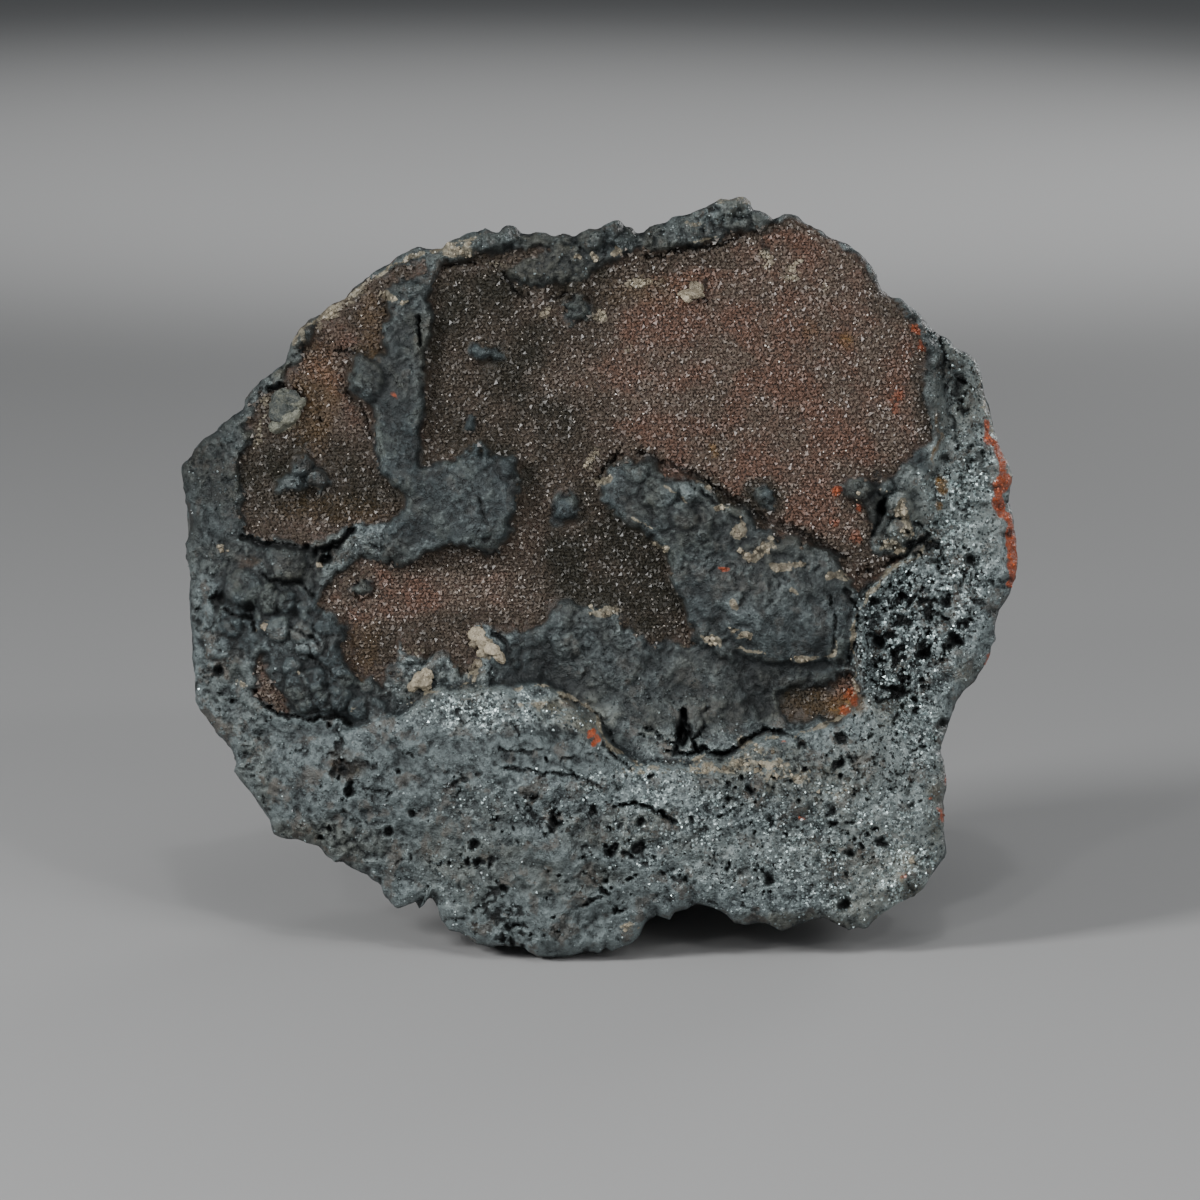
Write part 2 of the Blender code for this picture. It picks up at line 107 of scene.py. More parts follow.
OUTLINE = [
    (177, 463), (187, 455), (190, 447), (200, 437), (213, 430), (220, 421), (232, 413), (241, 407),
    (242, 399), (249, 388), (256, 381), (270, 371), (282, 363), (285, 353), (290, 340), (296, 331),
    (307, 317), (318, 312), (329, 301), (342, 297), (352, 285), (361, 279), (366, 275), (375, 268),
    (388, 262), (398, 253), (408, 248), (417, 245), (430, 248), (441, 247), (447, 240), (458, 236),
    (471, 233), (480, 230), (485, 227), (492, 231), (498, 232), (502, 228), (507, 224), (516, 226),
    (519, 233), (530, 234), (536, 231), (545, 232), (553, 235), (562, 232), (573, 236), (582, 231),
    (588, 229), (600, 228), (608, 222), (620, 219), (624, 224), (633, 226), (636, 232), (643, 232),
    (650, 225), (666, 222), (672, 216), (692, 212), (702, 209), (712, 203), (721, 198), (731, 199),
    (738, 196), (746, 196), (751, 200), (752, 208), (764, 212), (776, 219), (783, 213), (798, 215),
    (806, 221), (820, 227), (833, 236), (847, 242), (860, 249), (869, 260), (877, 271), (881, 283),
    (883, 288), (891, 295), (900, 296), (908, 301), (918, 309), (924, 316), (931, 323), (940, 331),
    (950, 337), (960, 346), (971, 351), (980, 357), (984, 366), (987, 381), (990, 398), (995, 414),
    (1000, 432), (1007, 449), (1015, 463), (1019, 474), (1017, 484), (1015, 500), (1018, 517),
    (1021, 535), (1023, 555), (1023, 566), (1021, 578), (1016, 591), (1009, 603), (1003, 612),
    (1000, 622), (1000, 631), (1001, 640), (996, 647), (994, 657), (989, 667), (982, 676), (978, 684),
    (968, 692), (960, 702), (957, 711), (953, 723), (948, 735), (945, 745), (943, 754), (947, 765),
    (949, 780), (948, 791), (946, 805), (947, 822), (946, 836), (948, 848), (947, 856), (941, 866),
    (933, 878), (928, 888), (918, 898), (906, 903), (895, 910), (883, 918), (874, 925), (868, 931),
    (859, 930), (850, 933), (846, 930), (843, 925), (832, 923), (826, 920), (811, 922), (800, 925),
    (791, 930), (783, 933), (777, 931), (769, 926), (756, 925), (746, 927), (736, 926), (728, 918),
    (720, 912), (708, 908), (697, 905), (687, 910), (675, 914), (670, 922), (661, 919), (657, 917),
    (650, 920), (644, 927), (640, 938), (630, 947), (621, 950), (612, 954), (605, 950), (600, 955),
    (585, 954), (579, 956), (569, 959), (550, 959), (536, 959), (527, 954), (524, 949), (505, 948),
    (488, 948), (475, 946), (467, 939), (457, 935), (447, 932), (441, 924), (437, 913), (433, 901),
    (428, 899), (423, 901), (422, 908), (417, 912), (407, 907), (396, 911), (389, 905), (381, 896),
    (378, 886), (371, 882), (366, 874), (357, 873), (349, 869), (341, 861), (333, 865), (323, 856),
    (317, 848), (308, 846), (298, 842), (280, 840), (271, 836), (269, 829), (268, 821), (263, 813),
    (257, 807), (253, 800), (246, 792), (238, 783), (230, 773), (232, 766), (231, 758), (227, 750),
    (220, 740), (214, 734), (207, 725), (202, 719), (195, 711), (191, 700), (190, 681), (189, 650),
    (188, 630), (186, 603), (185, 580), (182, 560), (181, 545), (184, 534), (185, 521), (183, 510),
    (180, 495), (178, 481), (176, 471),
]

# Column, row and height in mm of the face at spots along each stretch of it
LEVELS = [
    # Ridge along the top
    (480, 245, 0.5), (600, 240, 1.5), (690, 225, 1.5), (745, 205, 1.0),
    # Plateau at the upper right
    (620, 300, 0), (700, 300, 0), (800, 260, -0.4), (900, 330, -0.9), (700, 400, 0), (800, 400, 0),
    (900, 440, -0.6), (780, 480, 0),
    # Hollow between the plateau and the left
    (480, 350, -1.0), (480, 420, -1.2), (560, 400, -0.6), (560, 520, -1.6), (640, 560, -2.0),
    # Upper left
    (400, 280, -2.0), (340, 320, -3.5), (300, 420, -3.2), (350, 450, -2.6), (260, 500, -3.6),
    (220, 440, -5.5), (190, 470, -7.5),
    # Left edge and the nodules beside it
    (200, 560, -6.5), (240, 600, -3.5), (300, 620, -2.0), (350, 690, -1.5), (210, 690, -6.5),
    (240, 760, -5.5),
    # Lower-left lobe of the druse, and the two islands of smooth crust
    (430, 600, -2.5), (380, 640, -2.5), (500, 580, -2.2), (470, 505, -1.0), (390, 420, -1.8),
    (690, 520, -0.9), (760, 620, -1.5), (830, 620, -1.8),
    # Floor of the cavity below the islands
    (600, 640, -3.8), (560, 670, -4.4), (680, 690, -5.0), (760, 700, -5.2), (820, 690, -4.0),
    # Ridge below the cavity
    (430, 705, 0.3), (500, 705, 1.8), (560, 745, 2.8), (620, 785, 3.3), (700, 790, 3.2),
    (780, 770, 2.4), (850, 740, 1.0),
    # Broken rim from there to the foot
    (350, 780, -1.2), (300, 800, -3.6), (420, 820, 0.2), (500, 830, 2.0), (560, 860, 2.2),
    (650, 840, 2.2), (740, 850, 1.4), (820, 850, 0), (900, 850, -2.5), (930, 800, -3.5),
    (550, 930, -1.0), (480, 920, -2.4), (400, 880, -4.0), (620, 920, -1.6), (740, 905, -2.5),
    (860, 905, -3.5),
    # Terrace of grains at the right
    (890, 600, -2.8), (960, 480, -4.5), (1000, 450, -6.5), (1010, 540, -7.5), (960, 360, -4.6),
    (980, 640, -6.5), (940, 700, -4.8), (900, 760, -2.0),
]

# Edge of the whole hollow, below which the rim stands proud, closed round the top of the face
HOLLOW = [
    (150, 560), (240, 735), (330, 735), (400, 712), (440, 690), (500, 686), (545, 684), (575, 702),
    (598, 722), (610, 745), (640, 765), (690, 768), (725, 755), (760, 737), (815, 730), (848, 714),
    (858, 690), (854, 640), (858, 612), (880, 580), (905, 558), (932, 530), (1100, 480), (1100, 100),
    (150, 100),
]

# Where the plateau has dropped over its shoulder to the terrace
TERRACE = [
    (926, 320), (942, 352), (946, 400), (943, 450), (930, 480), (938, 520), (908, 562), (884, 586),
    (868, 612), (866, 650), (872, 700), (960, 740), (1060, 620), (1060, 420), (1000, 330), (950, 318),
]

# Edges of the druse, hollow by hollow
DRUSE = {
    "main": [
        (440, 265), (470, 256), (500, 250), (545, 255), (515, 266), (505, 278), (520, 292), (545, 294),
        (575, 286), (600, 270), (640, 248), (665, 250), (700, 247), (735, 234), (770, 222), (783, 219),
        (798, 221), (820, 233), (847, 248), (862, 258), (872, 275), (880, 292), (900, 303), (922, 322),
        (925, 345), (922, 380), (926, 400), (927, 440), (922, 455), (905, 465), (880, 472), (850, 478),
        (836, 484), (850, 500), (866, 505), (870, 520), (866, 540), (872, 556), (890, 560), (905, 556),
        (893, 570), (880, 578), (864, 582), (856, 590), (850, 575), (840, 560), (820, 548), (800, 540),
        (780, 535), (760, 525), (745, 512), (725, 505), (712, 495), (700, 480), (680, 474), (660, 470),
        (655, 462), (640, 458), (620, 462), (605, 475), (598, 488), (605, 500), (612, 515), (630, 530),
        (650, 540), (660, 545), (668, 560), (672, 580), (680, 600), (690, 620), (697, 635), (690, 650),
        (660, 640), (640, 630), (625, 620), (600, 600), (575, 603), (550, 605), (540, 620), (520, 632),
        (500, 632), (490, 625), (470, 625), (478, 655), (478, 675), (465, 670), (455, 655), (430, 660),
        (405, 652), (398, 642), (392, 660), (388, 680), (383, 690), (375, 680), (350, 665), (345, 650),
        (350, 630), (330, 610), (320, 605), (325, 590), (335, 578), (345, 565), (360, 560), (380, 562),
        (400, 570), (420, 563), (440, 552), (455, 543), (480, 548), (500, 555), (505, 540), (515, 525),
        (520, 500), (522, 480), (515, 455), (500, 448), (470, 448), (440, 458), (422, 460), (418, 448),
        (425, 430), (432, 410), (430, 390), (425, 375), (430, 360), (432, 330), (432, 300), (436, 280),
    ],
    "upper_left": [
        (320, 314), (335, 302), (350, 292), (365, 282), (380, 274), (400, 264), (420, 260), (425, 270),
        (400, 275), (385, 290), (380, 300), (382, 330), (385, 350), (360, 355), (348, 370), (345, 385),
        (355, 395), (370, 405), (372, 420), (370, 440), (378, 455), (380, 475), (395, 490), (400, 510),
        (385, 520), (360, 522), (345, 530), (330, 538), (300, 542), (270, 540), (250, 535), (245, 525),
        (248, 510), (245, 480), (243, 460), (246, 440), (246, 425), (248, 405), (258, 392), (272, 382),
        (286, 374), (297, 364), (302, 350), (312, 335),
    ],
    "lower_right": [
        (780, 700), (800, 692), (820, 690), (840, 680), (850, 675), (858, 690), (850, 705), (845, 715),
        (835, 722), (820, 718), (800, 718), (785, 712),
    ],
    "left_pocket": [
        (263, 658), (270, 670), (275, 685), (285, 700), (290, 714), (278, 712), (265, 703), (255, 695),
        (252, 690), (262, 678),
    ],
}

# Brown pockets too small for a crust of their own: column, row, half width and half height in px
BROWN_POCKETS = [(344, 768, 14, 10), (247, 563, 12, 7)]

# Smooth crust that stands proud of the druse
ISLANDS = [
    [
        (345, 375), (360, 354), (384, 350), (382, 300), (396, 278), (430, 285), (432, 330), (428, 372),
        (432, 405), (422, 440), (428, 458), (470, 448), (500, 448), (515, 455), (522, 485), (516, 522),
        (503, 548), (480, 546), (455, 543), (430, 556), (402, 568), (380, 560), (384, 535), (398, 510),
        (394, 490), (378, 465), (370, 440), (372, 412), (352, 395),
    ],
    [
        (598, 488), (608, 472), (622, 461), (645, 458), (662, 468), (700, 480), (714, 495), (728, 505),
        (748, 513), (764, 526), (800, 540), (842, 560), (852, 578), (858, 600), (854, 640), (838, 662),
        (800, 668), (740, 664), (700, 650), (690, 618), (672, 582), (662, 548), (632, 532), (612, 516),
    ],
]

# The rest of the smooth crust: the nodules at the left, the shoulder, the lens below the top ridge
SMOOTH = [
    [
        (222, 570), (262, 548), (300, 548), (325, 572), (318, 606), (346, 628), (348, 664), (384, 690),
        (392, 712), (360, 722), (300, 722), (290, 712), (262, 655), (232, 660), (216, 628), (216, 590),
    ],
    [
        (924, 322), (938, 350), (942, 400), (940, 450), (926, 474), (884, 482), (886, 530), (872, 540),
        (870, 508), (850, 498), (838, 484), (880, 471), (906, 464), (924, 450), (927, 400), (922, 350),
    ],
    [
        (436, 262), (500, 240), (600, 250), (700, 236), (760, 214), (740, 234), (640, 252), (560, 296),
        (505, 284),
    ],
    [
        (560, 610), (600, 602), (640, 632), (700, 656), (840, 668), (850, 690), (780, 716), (690, 730),
        (620, 722), (560, 690), (510, 680), (490, 650), (520, 634),
    ],
    [(230, 500), (250, 540), (330, 546), (310, 566), (240, 556), (205, 540)],
]

# Spots where the crust is grainy rather than smooth: column, row, half width and half height in px,
# and strength
GRAINY = [
    (770, 610, 70, 36, 0.75), (720, 570, 40, 20, 0.6), (690, 488, 36, 16, 0.7), (624, 476, 20, 12, 0.6),
    (598, 636, 50, 34, 0.8), (660, 690, 70, 30, 0.6), (405, 330, 26, 60, 0.7), (452, 262, 40, 12, 0.8),
    (640, 240, 90, 12, 0.6), (560, 268, 40, 16, 0.4), (240, 555, 50, 20, 0.5), (286, 640, 30, 20, 0.5),
    (900, 510, 24, 34, 0.7), (450, 560, 40, 20, 0.4), (470, 500, 40, 26, 0.25), (232, 520, 30, 24, 0.6),
    (810, 560, 40, 12, 0.6), (740, 650, 60, 14, 0.5), (938, 355, 22, 44, 1.0), (936, 420, 12, 30, 0.6),
]

# Column, row, radius in px and height of each nodule, as a multiple of NODULE_RISE
NODULES = [
    (244, 588, 20, 1.4), (268, 598, 15, 1.2), (284, 601, 11, 1.0), (285, 560, 20, 1.2),
    (262, 572, 14, 1.0), (276, 628, 13, 0.9), (301, 634, 11, 1.0), (317, 646, 12, 1.0),
    (292, 668, 10, 0.9), (313, 680, 14, 1.1), (298, 690, 14, 1.0), (338, 698, 13, 1.1),
    (328, 622, 16, 0.8), (341, 677, 13, 0.8), (332, 652, 17, 0.8), (311, 613, 14, 0.7),
    (226, 621, 17, 0.8), (209, 614, 14, 0.6), (217, 645, 13, 0.6), (304, 648, 9, 0.9),
    (359, 708, 12, 1.0), (305, 704, 10, 0.9), (323, 700, 12, 1.0), (373, 708, 12, 0.8),
    (300, 465, 12, 1.2), (318, 478, 10, 0.9), (290, 487, 13, 1.0), (365, 380, 20, 0.8),
    (480, 350, 14, 0.7), (578, 291, 11, 0.8), (860, 488, 14, 1.1), (886, 486, 8, 1.1),
    (900, 505, 14, 1.3), (902, 532, 13, 1.3), (660, 490, 17, 0.7), (690, 492, 11, 0.7),
    (684, 516, 13, 0.6), (636, 472, 12, 0.7), (566, 646, 14, 0.6), (410, 648, 16, 0.9),
    (700, 205, 11, 0.9), (728, 203, 12, 0.9), (760, 222, 10, 0.7), (590, 236, 13, 0.9),
    (612, 228, 10, 0.9), (470, 244, 12, 0.8), (500, 238, 13, 0.8), (300, 336, 11, 1.0),
]

# Broad low swellings: column, row, half width and half height in px, and height in mm
MOUNDS = [
    (470, 503, 50, 44, 1.1), (598, 640, 62, 44, 1.6), (655, 505, 34, 28, 0.7), (704, 531, 26, 20, 0.6),
    (800, 610, 54, 40, 0.8), (545, 765, 80, 26, 0.7), (560, 890, 100, 56, 0.8), (545, 262, 36, 20, 0.9),
    (720, 205, 30, 16, 0.8), (600, 232, 30, 14, 0.8), (480, 240, 28, 16, 0.8), (300, 340, 18, 22, 0.8),
    (900, 520, 17, 28, 0.9), (690, 690, 70, 34, 0.8), (400, 500, 20, 40, 0.5), (300, 650, 70, 60, 0.8),
    (760, 790, 60, 24, 0.6), (880, 800, 50, 50, 0.5), (340, 800, 60, 40, 0.6), (225, 560, 20, 60, 0.6),
]

# Spots where the rock is knobbly, with sunk seams between the knobs, painted dark as shade
KNOBBLY = [
    (600, 242, 150, 34, 1.0), (460, 250, 60, 22, 0.9), (215, 450, 60, 70, 0.8), (300, 340, 34, 50, 1.0),
    (405, 325, 34, 66, 0.8), (300, 556, 120, 28, 0.8), (240, 600, 70, 60, 0.6), (610, 640, 70, 44, 0.6),
    (690, 500, 60, 34, 0.7), (885, 520, 36, 46, 0.9), (780, 772, 100, 28, 0.8), (660, 815, 100, 26, 0.6),
    (320, 845, 80, 34, 0.7), (740, 210, 70, 24, 0.9), (200, 680, 30, 60, 0.6), (440, 690, 50, 26, 0.6),
    (850, 900, 90, 30, 0.5), (760, 560, 90, 30, 0.5), (240, 760, 40, 50, 0.5), (380, 380, 36, 26, 0.3),
]

# Flat round heads of crust, each in a ring gap: column, row, radius in px and height in mm
DISCS = [
    (578, 309, 10, 0.6), (765, 497, 9, 0.5), (568, 510, 13, 0.4), (363, 590, 8, 0.7), (468, 428, 7, 0.3),
    (482, 351, 9, 0.4),
]

# Small patches of bare rock within the druse
OUTCROPS = [
    [
        (276, 478), (286, 468), (294, 459), (306, 456), (312, 464), (324, 470), (328, 482), (318, 492),
        (308, 484), (300, 492), (290, 488), (280, 492),
    ],
    [(476, 344), (490, 346), (504, 352), (498, 358), (486, 354), (474, 352)],
]

# Column, row, radius in px and depth in mm of each pit. The middle of each pit is painted dark as shade
PITS = [
    (684, 735, 13, 3.4), (322, 555, 10, 2.6), (217, 598, 9, 2.2), (250, 610, 9, 2.0),
    (617, 456, 8, 1.6), (340, 770, 11, 1.5), (350, 787, 8, 2.4), (413, 815, 6, 1.8), (388, 832, 5, 1.5),
    (475, 845, 7, 1.6), (480, 862, 6, 1.6), (462, 857, 5, 1.5), (537, 797, 7, 1.6), (560, 815, 8, 1.8),
    (554, 822, 6, 1.4), (610, 850, 7, 1.8), (637, 847, 9, 1.4), (593, 810, 6, 1.3), (640, 822, 6, 1.6),
    (503, 888, 7, 1.6), (508, 928, 8, 1.6), (500, 940, 6, 1.4), (608, 880, 6, 1.5), (835, 765, 11, 2.0),
    (843, 737, 8, 1.6), (803, 745, 7, 1.6), (750, 790, 7, 1.5), (830, 810, 8, 1.6),
    (850, 855, 7, 1.6), (770, 880, 8, 1.6), (880, 640, 11, 2.6), (905, 600, 10, 2.4),
    (925, 650, 12, 2.6), (900, 690, 10, 2.2), (950, 600, 9, 2.2), (958, 385, 14, 1.2),
    (975, 560, 8, 1.8), (940, 560, 8, 1.8), (908, 545, 8, 1.4), (884, 508, 9, 2.2), (955, 640, 9, 2.2),
    (873, 600, 8, 2.4), (900, 650, 8, 2.4), (765, 248, 6, 1.2), (217, 672, 8, 1.8), (845, 905, 7, 1.6),
    (945, 725, 8, 1.8), (328, 724, 7, 1.8), (488, 540, 6, 1.4), (300, 400, 7, 1.0), (724, 756, 7, 2.0),
]

# Grooves and cracks: their points, half width in px and depth in mm. Each is painted dark as shade,
# the more so the deeper it is
CRACKS = [
    ([(240, 536), (262, 544), (292, 545), (315, 550), (336, 545), (352, 530)], 3.1, 2.0),
    ([(419, 318), (418, 330), (420, 346)], 1.9, 1.4),
    ([(480, 500), (483, 512), (488, 524)], 1.4, 0.8),
    ([(832, 598), (836, 618), (833, 652)], 1.6, 1.3),
    ([(845, 590), (856, 604), (858, 622)], 1.9, 1.4),
    ([(684, 712), (680, 734), (676, 752)], 1.9, 2.4),
    ([(684, 712), (690, 734), (697, 752)], 1.9, 2.4),
    ([(676, 744), (664, 742), (656, 730), (646, 728)], 1.4, 1.2),
    ([(694, 740), (704, 730), (702, 716), (712, 706)], 1.4, 1.2),
    ([(666, 752), (684, 756), (704, 752)], 1.5, 1.6),
    ([(700, 748), (726, 756), (745, 741), (765, 731), (800, 736)], 1.9, 2.0),
    ([(615, 805), (640, 803), (660, 812), (676, 823)], 2, 1.9),
    ([(720, 816), (734, 808), (742, 804)], 1.6, 1.2),
    ([(285, 716), (312, 720), (340, 716), (352, 724)], 1.9, 1.6),
    ([(296, 652), (312, 656), (324, 668), (334, 676), (350, 680)], 1.5, 1.2),
    ([(222, 610), (236, 616), (252, 618), (256, 630)], 2.1, 1.8),
    ([(262, 576), (280, 584), (300, 582), (314, 596)], 1.7, 1.4),
    ([(252, 690), (262, 704), (278, 714), (288, 720)], 1.6, 1.4),
    ([(290, 628), (306, 634), (322, 644)], 1.5, 1.1),
    ([(500, 766), (540, 772), (580, 776), (606, 790)], 1.3, 0.7),
    ([(604, 744), (616, 756), (632, 770)], 1.5, 1.3),
    ([(500, 748), (520, 752), (545, 750)], 1.3, 0.6),
    ([(336, 348), (346, 352), (356, 354)], 1.9, 1.2),
    ([(940, 330), (946, 352), (944, 380)], 1.9, 1.0),
    ([(648, 258), (680, 250), (716, 246), (740, 236)], 2.1, 1.0),
    ([(443, 268), (470, 262), (500, 268), (520, 296), (545, 300), (568, 294)], 1.9, 0.9),
    ([(860, 572), (884, 566), (908, 556), (924, 540)], 1.6, 1.2),
    ([(640, 470), (664, 482), (690, 482), (712, 502), (742, 520)], 1.4, 0.8),
    ([(884, 500), (882, 520), (874, 534)], 2.5, 1.4),
    ([(560, 696), (600, 716), (612, 742)], 1.3, 1.0),
    # Along the upper right edge of the second island, where a band of shade lies: sunk and painted dark
    ([(640, 452), (664, 462), (696, 474), (728, 496), (762, 518), (800, 532), (846, 558)], 3.7, 1.0),
    ([(600, 478), (604, 466), (618, 455)], 3.1, 1.0),
    ([(345, 388), (362, 408), (372, 440), (380, 470)], 2.5, 0.6),
    # Above and to the right of the grey crystal, where its shadow falls: painted dark as a groove
    ([(270, 388), (286, 384), (302, 394), (316, 408), (322, 420)], 2.5, 1.2),
    ([(494, 634), (504, 640), (508, 652)], 2.5, 1.0),
    ([(704, 282), (708, 292), (704, 300)], 1.9, 0.7),
]

# Thin pale lines, as rims of broken crust: their points and half width in px
RIM_LINES = [
    ([(932, 540), (918, 556), (900, 566), (880, 580), (866, 598), (856, 614), (852, 640), (857, 668)], 2.2),
    ([(857, 668), (856, 692), (846, 714), (822, 728), (792, 736), (762, 738)], 2.2),
    ([(560, 694), (582, 700), (598, 714), (602, 732), (612, 746), (626, 756)], 2.2),
    ([(440, 688), (470, 684), (500, 688), (545, 684), (562, 694)], 1.6),
    ([(735, 650), (752, 655), (770, 657), (792, 659)], 1.5),
    ([(790, 655), (812, 660), (830, 660), (838, 648), (834, 638)], 1.5),
    ([(676, 237), (690, 241), (710, 238), (726, 233)], 1.5),
    ([(632, 494), (628, 508), (634, 520), (650, 528)], 1.8),
    ([(668, 484), (682, 494), (686, 512)], 1.5),
    ([(664, 756), (684, 760), (704, 754)], 1.5),
    ([(728, 758), (744, 746), (764, 736)], 1.6),
    ([(700, 760), (680, 768), (650, 768), (626, 758)], 1.4),
    ([(392, 712), (420, 700), (440, 690)], 1.5),
    ([(292, 345), (300, 328), (322, 314), (345, 299), (366, 282), (392, 264), (420, 252)], 2.2),
    ([(430, 252), (446, 244), (470, 240), (486, 236)], 2),
    ([(262, 412), (256, 424), (250, 440)], 1.6),
]

# In all the lists of spots below, each spot is a column, a row, a half width and a half height in px,
# and a strength. The first ones are pale, rusty and ochre stains
CREAM = [
    (738, 530, 9, 7, 0.9), (757, 553, 16, 6, 1.0), (790, 566, 15, 5, 0.9), (770, 545, 8, 6, 0.7),
    (838, 574, 10, 5, 0.8), (735, 602, 5, 4, 0.8), (790, 592, 7, 4, 0.7), (745, 640, 8, 5, 0.9),
    (711, 645, 8, 5, 0.9), (733, 632, 6, 4, 0.8), (803, 663, 7, 4, 0.9), (680, 650, 6, 5, 0.5),
    (602, 610, 13, 6, 0.8), (588, 618, 6, 4, 0.6), (740, 764, 22, 9, 0.6), (775, 768, 24, 10, 0.5),
    (800, 778, 12, 8, 0.6), (757, 748, 20, 5, 0.6), (902, 512, 6, 14, 0.9), (906, 530, 6, 10, 0.8),
    (892, 548, 13, 5, 0.8), (286, 427, 13, 4, 0.9), (478, 672, 4, 9, 0.9), (486, 660, 9, 5, 0.7),
    (455, 250, 16, 6, 0.8), (444, 245, 10, 4, 0.8), (720, 200, 10, 4, 0.8), (744, 198, 7, 4, 0.9),
    (700, 222, 10, 3, 0.7), (640, 283, 13, 3, 0.8), (769, 256, 6, 8, 0.9), (793, 265, 5, 4, 0.8),
    (792, 276, 9, 3, 0.8), (821, 287, 3, 7, 0.6), (630, 350, 3, 3, 0.9), (602, 481, 8, 4, 1.0),
    (592, 462, 4, 7, 0.8), (660, 544, 7, 4, 0.9), (597, 314, 6, 4, 0.9), (547, 312, 4, 3, 0.9),
    (302, 334, 3, 13, 0.7), (332, 311, 9, 5, 0.9), (345, 304, 5, 3, 0.7), (387, 295, 6, 4, 0.9),
    (400, 300, 4, 3, 0.9), (618, 250, 6, 4, 0.8), (597, 256, 5, 3, 0.8), (575, 260, 5, 3, 0.8),
    (560, 702, 20, 5, 0.4), (415, 655, 14, 5, 0.3), (905, 870, 14, 16, 0.4), (640, 768, 24, 5, 0.5),
    (706, 768, 20, 5, 0.55), (240, 684, 7, 4, 0.8), (262, 625, 5, 6, 0.6), (223, 552, 9, 3, 0.7),
    (318, 563, 5, 4, 0.8), (555, 650, 5, 3, 0.4), (860, 497, 4, 5, 0.6), (885, 487, 6, 4, 0.6),
    (700, 484, 5, 4, 0.7), (718, 510, 7, 4, 0.8), (830, 790, 24, 10, 0.35), (632, 930, 9, 5, 0.6),
    (297, 668, 4, 2, 0.5), (352, 712, 4, 3, 0.4), (530, 705, 14, 5, 0.5), (500, 262, 12, 3, 0.4),
    (250, 436, 3, 6, 0.6), (262, 398, 4, 5, 0.6), (318, 322, 6, 4, 0.6), (360, 288, 8, 4, 0.5),
]
RUST = [
    (592, 733, 4, 3.5, 0.9), (599, 740, 3.5, 4, 1.0), (723, 565, 3, 3, 0.8),
    (895, 405, 5, 12, 0.35), (921, 328, 3, 6, 0.7), (921, 347, 3, 6, 0.6), (837, 492, 8, 5, 0.75),
    (857, 506, 3, 5, 0.6), (851, 700, 4, 8, 0.7), (844, 713, 5, 4, 0.8), (391, 398, 3, 2.5, 0.7),
    (397, 401, 3, 2, 0.5), (992, 440, 3, 7, 0.5), (990, 658, 4, 8, 0.6), (803, 820, 4, 3, 0.6),
    (785, 740, 3, 2, 0.5), (932, 800, 3, 3, 0.6), (943, 782, 3, 8, 0.6), (944, 820, 3, 8, 0.5),
    (903, 877, 3, 3, 0.5), (855, 535, 4, 8, 0.3), (838, 520, 5, 3, 0.4),
]
OCHRE = [
    (945, 488, 5, 9, 0.9), (940, 508, 3, 6, 0.8), (938, 437, 2.5, 24, 0.4), (712, 450, 3, 3, 0.8),
    (810, 330, 10, 8, 0.25), (370, 330, 12, 34, 0.25), (650, 292, 40, 14, 0.2), (845, 705, 20, 12, 0.45),
    (815, 705, 22, 10, 0.3), (365, 650, 14, 26, 0.25), (344, 768, 14, 10, 0.15),
    (314, 400, 20, 50, 0.35), (330, 510, 50, 14, 0.2), (848, 342, 8, 7, 0.6),
]

# Lines of rust and of a paler stain along the right rim
RUST_RIM = [(988, 425), (997, 448), (1005, 470), (1008, 500), (1012, 530), (1017, 556), (1013, 582)]
PINK_RIM = [(988, 385), (1000, 430), (1012, 460), (1010, 490)]

# Where the broken rock is palest
PALEST = [
    (965, 470, 50, 110, 0.75), (900, 870, 70, 50, 0.7), (930, 600, 60, 90, 0.35), (485, 708, 70, 24, 0.3),
    (920, 740, 40, 40, 0.5), (750, 860, 80, 30, 0.5), (578, 712, 34, 17, 1.1), (560, 900, 90, 50, 0.4),
    (880, 800, 60, 60, 0.6), (905, 730, 50, 40, 0.6), (450, 870, 30, 40, 0.3), (650, 790, 60, 30, 0.3),
    (900, 880, 60, 34, 1.2),
]

# Where small holes are thickest
PITTED = [
    (895, 640, 50, 76, 1.05), (958, 590, 30, 56, 0.85), (790, 850, 110, 50, 0.45), (560, 812, 60, 26, 0.55),
    (500, 930, 34, 22, 0.6), (474, 855, 24, 20, 0.6), (625, 850, 40, 16, 0.55), (770, 790, 60, 26, 0.5),
    (965, 385, 20, 28, 0.8), (960, 470, 30, 60, 0.45), (350, 790, 40, 22, 0.4), (300, 830, 40, 16, 0.3),
    (890, 760, 50, 40, 0.7), (600, 890, 40, 16, 0.4), (217, 680, 14, 24, 0.5), (820, 770, 50, 24, 0.5),
    (660, 880, 30, 24, 0.4), (850, 850, 40, 40, 0.5), (930, 540, 24, 20, 0.9),
]

# Where the rock is fine-grained and dull, without its pits
MATTE = [
    (330, 810, 100, 50, 0.85), (215, 640, 34, 110, 0.7), (548, 750, 70, 20, 1.0), (555, 895, 90, 56, 0.9),
    (420, 770, 70, 40, 0.8), (480, 800, 60, 40, 0.6), (300, 740, 60, 30, 0.6), (640, 900, 40, 30, 0.4),
    (200, 480, 30, 70, 0.6), (430, 860, 50, 40, 0.6),
]

# Where grains glitter most
GLITTER = [
    (485, 711, 60, 20, 0.9), (905, 620, 50, 70, 1.0), (965, 480, 34, 90, 1.0), (640, 790, 60, 26, 0.6),
    (910, 875, 50, 40, 1.0), (900, 820, 40, 40, 0.6), (755, 865, 70, 24, 0.5),
    (720, 850, 110, 40, 0.6), (850, 850, 90, 60, 0.7), (500, 800, 60, 20, 0.6), (460, 870, 30, 30, 0.5),
    (960, 560, 30, 60, 0.7), (920, 740, 26, 40, 0.7), (950, 350, 24, 30, 0.6), (560, 720, 30, 14, 0.5),
    (740, 810, 60, 20, 0.5),
]

